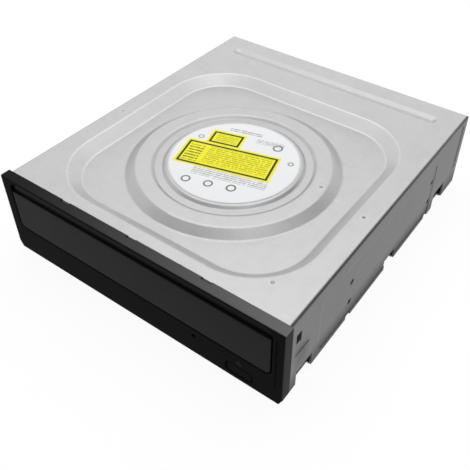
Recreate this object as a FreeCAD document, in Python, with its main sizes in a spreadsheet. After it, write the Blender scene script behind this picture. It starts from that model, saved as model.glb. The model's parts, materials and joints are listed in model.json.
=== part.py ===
import FreeCAD, Part
import math
import os
from types import SimpleNamespace

import Sketcher
from FreeCAD import Placement, Rotation, Vector

# Internal half-height disc writer: covers, chassis, tray, loading gears, cam lift, pickup, clamper, boards.
# Drawn with x to the right seen from the front, y to the rear from the bezel's face, z up from the underside.
# Each piece is then moved so that the origin lies under the middle of the whole drive.

DRIVING_SIZES = {
    # The drive as a whole: half-height bay, standard mounting holes
    "total_depth": 167.5,
    "body_width": 146.0,
    "body_height": 41.6,
    "bezel_side": 1.0,
    "bezel_rise": 0.4,
    "bezel_depth": 4.8,
    "cover_gap": 0.2,
    "mount_first": 47.4,
    "mount_pitch": 79.25,
    "mount_low": 10.0,
    "mount_high": 21.84,
    "mount_bottom_width": 139.7,
    "mount_radius": 1.5,
    "mount_room": 3.2,
    # Stock thicknesses and clearances
    "steel": 0.8,
    "plastic": 1.8,
    "board": 1.6,
    "joint_gap": 0.3,
    "slip": 0.05,
    "chassis_gap": 1.2,
    "wall_foot": 0.3,
    "rear_split": 12.4,
    # Stamping in the top cover
    "edge_round": 1.2,
    "press_round": 1.6,
    "ring_round": 0.6,
    "recess_width": 125.6,
    "recess_front": 10.3,
    "recess_length": 124.0,
    "recess_depth": 4.6,
    "recess_slope": 5.8,
    "recess_corner": 31.0,
    "boss_foot": 49.3,
    "boss_top": 44.5,
    "boss_drop": 1.25,
    "ring_outer": 37.6,
    "ring_inner": 30.9,
    "ring_slope": 1.7,
    "ring_depth": 1.4,
    "label_radius": 30.0,
    "label_sheet": 0.12,
    "bead_length": 124.0,
    "bead_width": 6.2,
    "bead_end": 2.9,
    "bead_slope": 2.2,
    "bead_depth": 1.3,
    "bead_rear": 14.15,
    "panel_step": 0.3,
    "tab_reach": 1.0,
    # Openings in the bezel
    "door_width": 137.4,
    "door_bottom": 15.0,
    "door_top": 40.3,
    "door_corner": 3.2,
    "door_gap": 0.6,
    "bezel_round": 0.5,
    "door_sheet": 3.0,
    "door_ledge": 35.5,
    "door_step": 1.2,
    "button_x": 54.0,
    "button_z": 5.3,
    "button_width": 12.2,
    "button_height": 5.2,
    "button_travel": 0.6,
    "switch_front": 11.0,
    "switch_stem": 1.1,
    "pinhole_x": 32.0,
    "pinhole_z": 11.0,
    "pinhole_radius": 0.9,
    "latch_front": 9.2,
    "latch_rear": 12.7,
    "latch_low": 26.5,
    "latch_high": 32.0,
    # Disc, tray and rack
    "disc_y": 70.0,
    "disc_well": 60.6,
    "small_well": 40.6,
    "tray_width": 133.2,
    "tray_rear": 158.0,
    "tray_bottom": 23.8,
    "tray_top": 27.7,
    "well_floor": 25.6,
    "small_floor": 24.8,
    "tray_travel": 132.0,
    "runner": 1.6,
    "hub_hole": 18.0,
    "window_width": 40.0,
    "window_rear": 138.0,
    "rail_outer": 66.0,
    "rail_bottom": 18.6,
    "rack_module": 1.0,
    # Loading gear train
    "gear_x": -50.5,
    "gear_y": 23.5,
    "pinion_teeth": 14,
    "wheel_teeth": 40,
    "small_teeth": 12,
    "wheel_module": 0.8,
    "wheel_low": 11.8,
    "wheel_thick": 3.0,
    "axle_radius": 1.2,
    "pulley_radius": 11.5,
    "motor_pulley_radius": 3.2,
    "motor_x": 8.0,
    "motor_y": 21.0,
    "motor_radius": 12.2,
    "belt_low": 16.4,
    "belt_size": 1.2,
    # Cam slider and lift
    "pivot_y": 150.0,
    "pivot_z": 12.7,
    "pivot_radius": 1.5,
    "hub_raise": 6.6,
    "lift_half": 47.0,
    "lift_front": 45.5,
    "lift_rear": 154.0,
    "lift_low": 11.2,
    "lift_thick": 3.0,
    "pin_x": 22.0,
    "pin_z": 16.5,
    "slider_front": 41.5,
    "slider_thick": 2.5,
    "slider_travel": 18.0,
    "slider_low": 4.2,
    "slider_high": 20.0,
    "damper_x": 42.0,
    "damper_front": 56.0,
    "damper_rear": 143.0,
    "plate_low": 15.2,
    "plate_thick": 1.0,
    # Spindle, pickup and sled
    "turntable_radius": 14.5,
    "disc_seat": 27.4,
    "hub_radius": 7.4,
    "rotor_radius": 12.5,
    "rotor_top": 23.6,
    "rod_x": 23.0,
    "rod_z": 18.6,
    "rod_radius": 1.5,
    "pickup_front": 87.0,
    "pickup_length": 21.0,
    "pickup_travel": 34.0,
    "lens_y": 93.5,
    "lens_top": 26.0,
    "screw_x": 33.5,
    "screw_z": 17.4,
    "screw_radius": 1.4,
    "sled_motor_radius": 5.5,
    # Clamper and its bridge
    "bridge_drop": 10.4,
    "bridge_front": 46.0,
    "bridge_rear": 94.0,
    "clamper_hole": 15.6,
    "clamper_pad": 28.5,
    # Circuit board and rear connector
    "board_low": 3.0,
    "board_front": 97.0,
    "board_room": 3.5,
    "board_half": 57.0,
    "sata_x": 26.5,
    "sata_width": 42.0,
    "sata_height": 7.0,
    "sata_depth": 10.2,
}

doc = FreeCAD.newDocument("disc_writer")
sheet = doc.addObject("Spreadsheet::Sheet", "Sizes")
for row, (alias, number) in enumerate(DRIVING_SIZES.items(), start=1):
    sheet.set(f"A{row}", alias)
    sheet.set(f"B{row}", str(number))
    sheet.setAlias(f"B{row}", alias)
doc.recompute()


class Size:
    """A length worked out from the sheet: its number now and the expression that keeps it."""

    def __init__(self, value, text):
        self.value = value
        self.text = text

    def __add__(self, other):
        other = as_size(other)
        return Size(self.value + other.value, f"({self.text} + {other.text})")

    def __sub__(self, other):
        other = as_size(other)
        return Size(self.value - other.value, f"({self.text} - {other.text})")

    def __mul__(self, other):
        other = as_size(other)
        return Size(self.value * other.value, f"({self.text} * {other.text})")

    def __truediv__(self, other):
        other = as_size(other)
        return Size(self.value / other.value, f"({self.text} / {other.text})")

    def __radd__(self, other):
        return as_size(other) + self

    def __rsub__(self, other):
        return as_size(other) - self

    def __rmul__(self, other):
        return as_size(other) * self

    def __neg__(self):
        return Size(-self.value, f"(-1 * {self.text})")


def as_size(number):
    if isinstance(number, Size):
        return number
    return Size(float(number), str(number) if number >= 0 else f"(0 - {-number})")


d = SimpleNamespace(**{name: Size(value, f"Sizes.{name}") for name, value in DRIVING_SIZES.items()})


def bind(obj, path, size):
    obj.setExpression(path, as_size(size).text)


# Solids from primitives

def both(half):
    """Limits that lie the same way either side of the middle."""
    return (-half, half)


def box(x, y, z):
    """A block between two limits on each axis."""
    block = doc.addObject("Part::Box", "Block")
    for axis, side, (low, high) in (("x", "Length", x), ("y", "Width", y), ("z", "Height", z)):
        bind(block, "Placement.Base." + axis, low)
        bind(block, side, high - as_size(low))
    return block


TURNS = {"x": Rotation(Vector(0, 1, 0), 90), "y": Rotation(Vector(1, 0, 0), -90), "z": Rotation()}


def rod(x, y, z, radius):
    """A cylinder along the axis whose two limits are given."""
    cylinder = doc.addObject("Part::Cylinder", "Rod")
    for axis, place in (("x", x), ("y", y), ("z", z)):
        if isinstance(place, tuple):
            cylinder.Placement = Placement(Vector(), TURNS[axis])
            bind(cylinder, "Height", place[1] - as_size(place[0]))
    for axis, place in (("x", x), ("y", y), ("z", z)):
        bind(cylinder, "Placement.Base." + axis, place[0] if isinstance(place, tuple) else place)
    bind(cylinder, "Radius", radius)
    return cylinder


def fuse(*pieces):
    joined = doc.addObject("Part::MultiFuse", "Joined")
    joined.Shapes = list(pieces)
    joined.Refine = True
    return joined


def cut(base, *tools):
    rest = doc.addObject("Part::Cut", "Rest")
    rest.Base = base
    rest.Tool = tools[0] if len(tools) == 1 else fuse(*tools)
    rest.Refine = True
    return rest


def group(*pieces):
    """Separate solids of one kind in one node."""
    compound = doc.addObject("Part::Compound", "Group")
    compound.Links = list(pieces)
    return compound


# Solids from sketches

PLANES = {"top": "XY_Plane", "front": "XZ_Plane", "side": "YZ_Plane"}


def new_body():
    return doc.addObject("PartDesign::Body", "Piece")


def new_sketch(body, plane, level, centre=0):
    """A sketch on the body's own plane, moved along its normal, and sideways to a centre."""
    sketch = body.newObject("Sketcher::SketchObject", "Sketch")
    origin = [feature for feature in body.Origin.OriginFeatures if feature.Role == PLANES[plane]]
    sketch.AttachmentSupport = [(origin[0], "")]
    sketch.MapMode = "FlatFace"
    bind(sketch, "AttachmentOffset.Base.x", centre)
    bind(sketch, "AttachmentOffset.Base.z", -level if plane == "front" else level)
    return sketch


def fix_point(sketch, edge, end, x, y):
    for kind, size in (("DistanceX", x), ("DistanceY", y)):
        index = sketch.addConstraint(Sketcher.Constraint(kind, edge, end, as_size(size).value))
        bind(sketch, f"Constraints[{index}]", size)


def outline(*points, radius=None):
    """A closed outline through points; radius rounds its corners, which are then right angles."""
    points = [(as_size(x), as_size(y)) for x, y in points]

    def step(start, end):
        """The unit step from one corner towards the next, along x or y."""
        dx = end[0].value - start[0].value
        dy = end[1].value - start[1].value
        length = math.hypot(dx, dy)
        return round(dx / length), round(dy / length)

    def vector(point):
        return Vector(point[0].value, point[1].value, 0)

    def draw(sketch):
        count = len(points)
        lines = []
        for i in range(count):
            start, end = points[i], points[(i + 1) % count]
            if radius is not None:
                sx, sy = step(start, end)
                start, end = (
                    (start[0] + radius * sx, start[1] + radius * sy),
                    (end[0] - radius * sx, end[1] - radius * sy),
                )
            line = sketch.addGeometry(Part.LineSegment(vector(start), vector(end)))
            fix_point(sketch, line, 1, *start)
            if radius is not None:
                fix_point(sketch, line, 2, *end)
            lines.append((line, start, end))
        if radius is None:
            for i in range(count):
                sketch.addConstraint(
                    Sketcher.Constraint("Coincident", lines[i][0], 2, lines[(i + 1) % count][0], 1)
                )
            return
        for i in range(count):
            line, _, start = lines[i]
            after, end, _ = lines[(i + 1) % count]
            sx, sy = step(lines[i][1], lines[i][2])
            ex, ey = step(lines[(i + 1) % count][1], lines[(i + 1) % count][2])
            centre = vector(start) + Vector(ex, ey, 0) * as_size(radius).value
            to_start = vector(start) - centre
            to_end = vector(end) - centre
            left = sx * ey - sy * ex > 0
            first, last = (to_start, to_end) if left else (to_end, to_start)
            low = math.atan2(first.y, first.x)
            high = math.atan2(last.y, last.x)
            if high < low:
                high += 2 * math.pi
            circle = Part.Circle(centre, Vector(0, 0, 1), as_size(radius).value)
            arc = sketch.addGeometry(Part.ArcOfCircle(circle, low, high))
            ends = (1, 2) if left else (2, 1)
            sketch.addConstraint(Sketcher.Constraint("Coincident", line, 2, arc, ends[0]))
            sketch.addConstraint(Sketcher.Constraint("Coincident", arc, ends[1], after, 1))
            index = sketch.addConstraint(Sketcher.Constraint("Radius", arc, as_size(radius).value))
            bind(sketch, f"Constraints[{index}]", radius)

    return draw


def rect(x, y, radius=None):
    """A rectangle between limits, with rounded corners if a radius is given."""
    return outline((x[0], y[0]), (x[1], y[0]), (x[1], y[1]), (x[0], y[1]), radius=radius)


def circle(x, y, radius):
    def draw(sketch):
        centre = Vector(as_size(x).value, as_size(y).value, 0)
        edge = sketch.addGeometry(Part.Circle(centre, Vector(0, 0, 1), as_size(radius).value))
        fix_point(sketch, edge, 3, x, y)
        index = sketch.addConstraint(Sketcher.Constraint("Radius", edge, as_size(radius).value))
        bind(sketch, f"Constraints[{index}]", radius)

    return draw


def pad(body, plane, limits, *loops, centre=0):
    """Material between two limits along the plane's axis."""
    low, high = limits
    sketch = new_sketch(body, plane, as_size(high if plane == "front" else low), centre)
    for draw in loops:
        draw(sketch)
    feature = body.newObject("PartDesign::Pad", "Pad")
    feature.Profile = sketch
    bind(feature, "Length", high - as_size(low))
    return feature


def pocket(body, plane, limits, *loops, taper=None):
    """Material taken away between two limits; the last size must shrink the piece."""
    doc.recompute()
    before = body.Shape.Volume
    low, high = limits
    sketch = new_sketch(body, plane, as_size(low if plane == "front" else high))
    for draw in loops:
        draw(sketch)
    feature = body.newObject("PartDesign::Pocket", "Pocket")
    feature.Profile = sketch
    bind(feature, "Length", high - as_size(low))
    if taper is not None:
        bind(feature, "TaperAngle", taper)
    doc.recompute()
    if not body.Shape.Volume < before:
        raise ValueError("a pocket cuts nothing in " + body.Label)
    return feature


def turned(body, points, x=0, y=0, kind="Revolution"):
    """A solid of revolution about an upright axis, from points of radius and height."""
    sketch = new_sketch(body, "front", as_size(y), x)
    outline(*points)(sketch)
    feature = body.newObject("PartDesign::" + kind, kind)
    feature.Profile = sketch
    feature.ReferenceAxis = (sketch, ["V_Axis"])
    feature.Angle = 360
    return feature


def soften(body, radius, *places):
    """Rounds the edges that lie wholly inside one of the places, each given by limits on x, y and z."""
    doc.recompute()

    def lies_in(edge, place):
        box = edge.BoundBox
        spans = ((box.XMin, box.XMax), (box.YMin, box.YMax), (box.ZMin, box.ZMax))
        return all(
            as_size(low).value - 0.05 <= start and end <= as_size(high).value + 0.05
            for (start, end), (low, high) in zip(spans, place)
        )

    names = [
        f"Edge{index}"
        for index, edge in enumerate(body.Shape.Edges, start=1)
        if any(lies_in(edge, place) for place in places)
    ]
    if not names:
        raise ValueError("no edge to round in " + body.Label)
    last = body.Tip
    rounding = body.newObject("PartDesign::Fillet", "Rounding")
    rounding.Base = (last, names)
    bind(rounding, "Radius", radius)


def repeat_round(body, feature, sketch, count):
    pattern = body.newObject("PartDesign::PolarPattern", "Teeth")
    pattern.Originals = [feature]
    pattern.Axis = (sketch, ["N_Axis"])
    pattern.Angle = 360
    bind(pattern, "Occurrences", count)
    body.Tip = pattern


# Finished pieces

NODES = []


def node(piece, label, tilt=None):
    """Names a finished piece and sets it in the drive's frame, tilted about the lift's pivot if asked."""
    piece.Label = label
    shift = f"vector(0; 0 - {(d.total_depth / 2).text}; 0)"
    if tilt is None:
        bind(piece, "Placement.Base.y", -(d.total_depth / 2))
    else:
        pivot = f"vector(0; {d.pivot_y.text}; {d.pivot_z.text})"
        turn = f"rotation(vector(1; 0; 0); {tilt.text})"
        piece.setExpression("Placement", f"placement({shift}; {turn}; {pivot})")
    NODES.append(piece)
    return piece


def across(side, near, far):
    """Limits between two distances from the middle, on the side given as 1 or -1."""
    if side > 0:
        return (as_size(near), as_size(far))
    return (-as_size(far), -as_size(near))


half_width = d.body_width / 2
inner_width = half_width - d.steel
cover_front = d.bezel_depth + d.cover_gap
bezel_half = half_width + d.bezel_side
bezel_height = d.body_height + d.bezel_rise
chassis_half = inner_width - d.chassis_gap
chassis_rear = d.total_depth - 5.7
bridge_low = d.body_height - d.bridge_drop
board_rear = d.total_depth - d.board_room
board_right = chassis_half - 5
mount_front = d.bezel_depth + d.mount_first
mount_rear = mount_front + d.mount_pitch
lift_tilt = Size(
    math.degrees(math.asin(d.hub_raise.value / (d.pivot_y.value - d.disc_y.value))),
    f"asin({(d.hub_raise / (d.pivot_y - d.disc_y)).text})",
)


def corners(x, front, rear):
    """Four places: two depths on either side of the middle."""
    return [(x * side, y) for side in (1, -1) for y in (front, rear)]


COVER_SCREWS = corners(chassis_half - 9, cover_front + 9, d.total_depth - 19.5)
BOARD_SCREWS = corners(as_size(52), d.board_front + 7, board_rear - 6)
BRIDGE_SCREWS = corners(chassis_half - 6, d.bridge_front + 4, d.bridge_rear - 4)
DAMPERS = corners(d.damper_x, d.damper_front, d.damper_rear)
TAB_PLACES = (-38, -1, 36.5)
WALL_NOTCHES = ((11.0, 22.5, 8.0), (86.0, 96.0, 6.0), (139.0, 151.5, 9.6))


# Covers

def slope_angle(run, fall):
    """How far a pressed wall leans out from upright, in degrees."""
    return Size(math.degrees(math.atan(run.value / fall.value)), f"atan({(run / fall).text})")


def cover_form(inset, drop):
    """The top cover's outside, or with an inset and a drop the space inside it."""
    body = new_body()
    half = half_width - inset
    top = d.body_height - drop
    front = cover_front - inset * 2
    pad(body, "top", (d.wall_foot - inset * 2, top), rect(both(half), (front, d.total_depth - inset)))
    rear = d.total_depth - inset
    soften(body, d.edge_round - inset, ((-half, -half), (front, rear), (top, top)),
           ((half, half), (front, rear), (top, top)), (both(half), (rear, rear), (top, top)))
    recess = rect(
        both(d.recess_width / 2),
        (d.recess_front, d.recess_front + d.recess_length),
        radius=d.recess_corner,
    )
    lean = slope_angle(d.recess_slope, d.recess_depth)
    pocket(body, "top", (top - d.recess_depth, top), recess, taper=-lean)
    boss = top - d.boss_drop
    floor = top - d.recess_depth
    turned(body, [(0, floor - 0.2), (d.boss_foot, floor - 0.2), (d.boss_foot, floor), (d.boss_top, boss),
                  (d.ring_outer, boss), (d.ring_outer - d.ring_slope, boss - d.ring_depth),
                  (d.ring_inner + d.ring_slope, boss - d.ring_depth), (d.ring_inner, boss), (0, boss)],
           y=d.disc_y)
    pocket(body, "top", (top - d.bead_depth, top), rect(*bead_limits(), radius=d.bead_end),
           taper=-slope_angle(d.bead_slope, d.bead_depth))
    return body


def bead_limits():
    """The groove behind the recess, seen from above."""
    middle = d.total_depth - d.bead_rear
    return both(d.bead_length / 2), (middle - d.bead_width / 2, middle + d.bead_width / 2)


def round_pressings(body):
    """Rounds the outer edges of the recess, the boss, its ring groove and the rear groove."""
    top = d.body_height
    floor = top - d.recess_depth
    boss = top - d.boss_drop
    ring = boss - d.ring_depth
    over_recess = (both(d.recess_width / 2), (d.recess_front, d.recess_front + d.recess_length))
    over_boss = (both(d.boss_top), (d.disc_y - d.boss_top, d.disc_y + d.boss_top))
    over_ring = (both(d.ring_outer), (d.disc_y - d.ring_outer, d.disc_y + d.ring_outer))
    soften(body, d.press_round, (*over_recess, (top, top)), (*over_recess, (floor, floor)))
    soften(body, d.press_round, (*over_boss, (boss, boss)))
    soften(body, d.ring_round, (*over_ring, (ring, ring)))
    soften(body, d.ring_round, (*bead_limits(), (top, top)))


def make_top_cover():
    outside = cover_form(0, 0)
    round_pressings(outside)
    sheet_level = (d.body_height - d.steel, d.body_height)
    tabs = [box((x - 2, x + 2), (cover_front - d.tab_reach, cover_front + 1), sheet_level)
            for x in TAB_PLACES]
    shell = fuse(cut(outside, cover_form(d.steel, d.steel)), *tabs)
    below = d.wall_foot - 1
    wide = both(half_width + 1)
    cuts = [box(both(inner_width), (d.total_depth - d.steel * 2, d.total_depth + 1), (below, d.rear_split))]
    # Notches and mounting holes run through both side walls
    for start, end, top in WALL_NOTCHES:
        cuts.append(box(wide, (start, end), (below, top)))
    for place in (mount_front, mount_rear):
        cuts.append(box(wide, (place - 2, place + 2), (below, 2.4)))
        for height in (d.mount_low, d.mount_high):
            cuts.append(rod(wide, place, height, d.mount_radius))
    cuts.append(box(wide, (d.latch_front, d.latch_rear), (d.latch_low, d.latch_high)))
    # Shallow pressings in each side wall: a long panel, a dent under the latch and a crease at the rear
    for side in (1, -1):
        pressed = new_body()
        outside = across(side, half_width - d.panel_step, half_width + 1)
        pad(pressed, "side", outside, rect((27.0, 134.0), (2.6, 33.0), radius=4))
        cuts.append(pressed)
        for shape in (rect((160.5, 163.5), (12.5, 38.0), radius=1.2),
                      outline((9.0, 19.3), (19.5, 19.3), (13.5, 24.0), (9.0, 24.5))):
            pressed = new_body()
            pad(pressed, "side", outside, shape)
            cuts.append(pressed)
    return node(cut(shell, *cuts), "top_cover")


def make_bottom_cover():
    body = new_body()
    half = inner_width - 0.1
    pad(body, "top", (0, d.steel), rect(both(half), (cover_front, d.total_depth)))
    rear = (d.total_depth - d.steel, d.total_depth)
    pad(body, "front", rear, rect(both(half), (0, d.rear_split - 0.1)))
    for side in (1, -1):
        for start, end in ((25.0, mount_front - 5), (mount_front + 5, 84.0), (98.0, mount_rear - 5)):
            pad(body, "top", (0, 9.0), rect(across(side, half - d.steel, half), (start, end)))
        for start, end, _ in WALL_NOTCHES:
            pocket(body, "top", (-1, d.steel), rect(across(side, half - 1.2, half + 1), (start, end)))
    # Stiffening panel pressed inwards
    panel = 0.6
    pad(body, "top", (d.steel, d.steel + panel), rect(both(45), (26, 92), radius=6))
    pocket(body, "top", (0, panel), rect(both(45 - panel), (26 + panel, 92 - panel), radius=6))
    # Screw cups pressed inwards at the corners
    for x, y in COVER_SCREWS:
        pad(body, "top", (0, 2.4), circle(x, y, 5.0))
        pocket(body, "top", (0, 1.6), circle(x, y, 4.2))
        pocket(body, "top", (0, 3), circle(x, y, 1.7))
    for x in both(d.mount_bottom_width / 2):
        for y in (mount_front, mount_rear):
            pocket(body, "top", (-1, d.steel), circle(x, y, d.mount_radius))
    sata = both(d.sata_width / 2 + 0.4)
    pocket(body, "front", (d.total_depth - 2, d.total_depth + 1),
           rect((d.sata_x + sata[0], d.sata_x + sata[1]),
                (d.board_low + d.board - 0.2, d.board_low + d.board + d.sata_height + 0.3)))
    return node(body, "bottom_cover")


def make_cover_screws():
    screws = [fuse(rod(x, y, (0.3, 1.6), 3.0), rod(x, y, (1.6, 7.6), 1.45)) for x, y in COVER_SCREWS]
    return node(group(*screws), "cover_screws")


def make_label():
    level = d.body_height - d.boss_drop
    return node(group(rod(0, d.disc_y, (level, level + d.label_sheet), d.label_radius)), "cover_label")


# Front bezel, door and button

def make_bezel():
    body = new_body()
    half = bezel_half
    face = outline((-half + 1.6, 0), (half - 1.6, 0), (half, 3.4), (half, bezel_height),
                   (-half, bezel_height), (-half, 3.4))
    pad(body, "front", (0, d.bezel_depth), face)
    wall = d.plastic
    hollow = rect(both(half - wall), (wall, bezel_height - wall))
    pocket(body, "front", (2.4, d.bezel_depth + 1), hollow)
    # The door's frame stands behind the face as deep as the bezel
    opening = (both(d.door_width / 2), (d.door_bottom, d.door_top))
    pad(body, "front", (1.0, d.bezel_depth),
        rect(both(d.door_width / 2 + 1.2), (d.door_bottom - 1.2, bezel_height - 0.4)))
    pocket(body, "front", (-1, d.bezel_depth + 1), rect(*opening, radius=d.door_corner))
    # Button collar and hole, and the hole for the emergency pin
    button_x = (d.button_x - d.button_width / 2 - 0.3, d.button_x + d.button_width / 2 + 0.3)
    button_z = (d.button_z - d.button_height / 2 - 0.3, d.button_z + d.button_height / 2 + 0.3)
    pad(body, "front", (1.0, d.bezel_depth),
        rect((button_x[0] - 1, button_x[1] + 1), (button_z[0] - 1, button_z[1] + 1)))
    pocket(body, "front", (-1, d.bezel_depth + 1), rect(button_x, button_z, radius=2.0))
    pocket(body, "front", (-1, d.bezel_depth + 1), circle(d.pinhole_x, d.pinhole_z, d.pinhole_radius))
    soften(body, d.bezel_round, (both(half), (0, 0), (0, bezel_height)))
    # Notches for the cover's tabs and a shallow moulded line beside the door
    for x in TAB_PLACES:
        pocket(body, "top", (d.body_height - d.steel - 0.3, bezel_height),
               rect((x - 2.3, x + 2.3), (cover_front - d.tab_reach - 0.3, d.bezel_depth + 1)))
    pocket(body, "front", (-1, 0.3), rect((70.3, 70.7), (9.0, 37.0)))
    # Latch arms with hooks that stand in the covers' slots
    height = (d.latch_low + 0.7, d.latch_high - 0.7)
    for side in (1, -1):
        arm = across(side, inner_width - 1.1, inner_width - 0.2)
        root = across(side, inner_width - 1.1, half - 0.5)
        hook = across(side, inner_width - 0.5, half_width - 0.15)
        pad(body, "top", height, rect(root, (3.0, d.bezel_depth)))
        pad(body, "top", height, rect(arm, (d.bezel_depth - 1.5, d.latch_rear + 0.3)))
        pad(body, "top", height, rect(hook, (d.latch_front + 0.4, d.latch_rear - 0.4)))
    return node(body, "front_bezel")


def make_door():
    body = new_body()
    half = d.door_width / 2 - d.door_gap
    low = d.door_bottom + d.door_gap
    high = d.door_top - d.door_gap
    face = rect(both(half), (low, high), radius=d.door_corner - d.door_gap)
    pad(body, "front", (0, d.door_sheet + 0.2), face)
    pocket(body, "front", (-1, d.door_step), rect(both(half + 1), (d.door_ledge, high + 1)))
    soften(body, d.bezel_round / 2, (both(half), (0, 0), (low, d.door_ledge)))
    # The back is hollow round the tray's front edge
    pocket(body, "front", (1.8, d.door_sheet + 1), rect(both(half - 2), (low + 1.8, d.tray_bottom - 0.4)))
    pocket(body, "front", (2.2, d.door_sheet + 1), rect(both(half - 2), (d.tray_top + 0.4, high - 1.6)))
    return node(body, "tray_door")


def make_button():
    body = new_body()
    x = (d.button_x - d.button_width / 2, d.button_x + d.button_width / 2)
    z = (d.button_z - d.button_height / 2, d.button_z + d.button_height / 2)
    pad(body, "front", (0.2, 6.2), rect(x, z, radius=1.8))
    soften(body, d.bezel_round, (x, (0.2, 0.2), z))
    pocket(body, "front", (1.6, 7.0), rect((x[0] + 1.2, x[1] - 1.2), (z[0] + 1.2, z[1] - 1.2)))
    reach = d.switch_front - d.switch_stem - d.button_travel - d.slip
    pad(body, "front", (1.0, reach), rect((d.button_x - 1.4, d.button_x + 1.4), (z[0] + 1, z[1] - 1)))
    return node(body, "eject_button")


# Chassis

def make_chassis():
    outer = chassis_half
    inner = outer - d.plastic
    front, rear = cover_front + 0.6, chassis_rear
    solids = []
    for side in (1, -1):
        solids.append(box(across(side, inner, outer), (front, rear), (1.0, bridge_low)))
        # Ledge under the tray's runner and rib over it
        solids.append(box(across(side, d.tray_width / 2 + 0.3, inner), (front + 0.4, rear), (20.9, 23.5)))
        solids.append(box(across(side, d.tray_width / 2 + 0.4, inner), (front + 0.4, rear),
                          (d.tray_bottom + d.runner + d.joint_gap, bridge_low)))
        # Floor beside the lift, with an upright rib along it
        solids.append(box(across(side, 55, inner), (40, rear - d.plastic), (5.4, 6.8)))
        solids.append(box(across(side, 55, 56.4), (41, rear - d.plastic), (6.0, 14.0)))
        solids.append(box(across(side, 50.2, 56.4), (145, 155), (5.4, 16.5)))
        solids.append(box(across(side, 52, 55.4), (41, 45), (2.4, 6.8)))
        # Posts for the circuit board and for the clamper's bridge
        for _, y in BOARD_SCREWS[:2]:
            solids.append(box(across(side, 49.6, 55.4), (y - 2.4, y + 2.4), (4.6, 6.8)))
        for _, y in BRIDGE_SCREWS[:2]:
            solids.append(box(across(side, inner - 7.7, inner), (y - 3.5, y + 3.5),
                              (bridge_low - 1.7, bridge_low)))
    for x, y in COVER_SCREWS:
        solids.append(rod(x, y, (2.5, 9.4), 3.2))
    solids.append(box(both(inner), (rear - d.plastic, rear), (12.6, bridge_low)))
    # Front deck for the gears, slider rail and slider keeper
    solids.append(box(both(inner), (front, 41), (8.5, 10.3)))
    solids.append(box(both(inner), (front, front + 0.9), (9.0, 14.2)))
    solids.append(box(both(54), (41, 44.6), (2.4, d.slider_low - 0.3)))
    keeper = (d.slider_front - 1.7, d.slider_front - 0.3)
    solids.append(box((-12, 32), keeper, (9.0, d.slider_high + 1.6)))
    solids.append(box((-12, 32), (keeper[0], d.slider_front + d.slider_thick),
                      (d.slider_high + 0.3, d.slider_high + 1.6)))
    for x, y in (gear_centre, small_centre):
        solids.append(rod(x, y, (9.4, d.wheel_low - 0.3), 3.0))
    # Bracket over the motor's upper end
    mx, my = d.motor_x, d.motor_y
    solids.append(box((mx - 17, mx + 17), (my - 6, my + 6), (14.2, 15.4)))
    for x in (mx - 17, mx + 15):
        solids.append(box((x, x + 2), (my - 6, my + 6), (9.4, 15.0)))
    cuts = [rod(mx, my, (8, 11), d.motor_radius + 0.4), rod(mx, my, (14, 16), 4.6)]
    for x, y in COVER_SCREWS:
        cuts.append(rod(x, y, (2, 8.2), 1.5))
    for x, y in BOARD_SCREWS:
        cuts.append(rod(x, y, (4, 6.2), 1.05))
    for x, y in BRIDGE_SCREWS:
        cuts.append(rod(x, y, (bridge_low - 1.3, bridge_low + 1), 1.05))
    for x, y in (gear_centre, small_centre):
        cuts.append(rod(x, y, (8.8, d.wheel_low), d.axle_radius))
    for side in (1, -1):
        pin = across(side, 50, 56)
        cuts.append(rod(pin, d.pivot_y, d.pivot_z, d.pivot_radius + d.slip))
        for y in (mount_front, mount_rear):
            cuts.append(rod(d.mount_bottom_width / 2 * side, y, (0, 6.0), d.mount_room))
            for height in (d.mount_low, d.mount_high):
                cuts.append(rod(across(side, inner - 3, outer + 1), y, height, d.mount_room))
    return node(cut(fuse(*solids), *cuts), "main_chassis")


gear_centre = (d.gear_x, d.gear_y)
small_centre = (d.gear_x + d.wheel_module * (d.wheel_teeth + d.small_teeth) / 2, d.gear_y)


# Tray

TEETH_AHEAD = 3
rack_pitch = math.pi * d.rack_module
rack_line = -d.gear_x + d.rack_module * (d.pinion_teeth / 2 + 1.2)
rack_start = d.gear_y - rack_pitch * (TEETH_AHEAD + 0.5)


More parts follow.
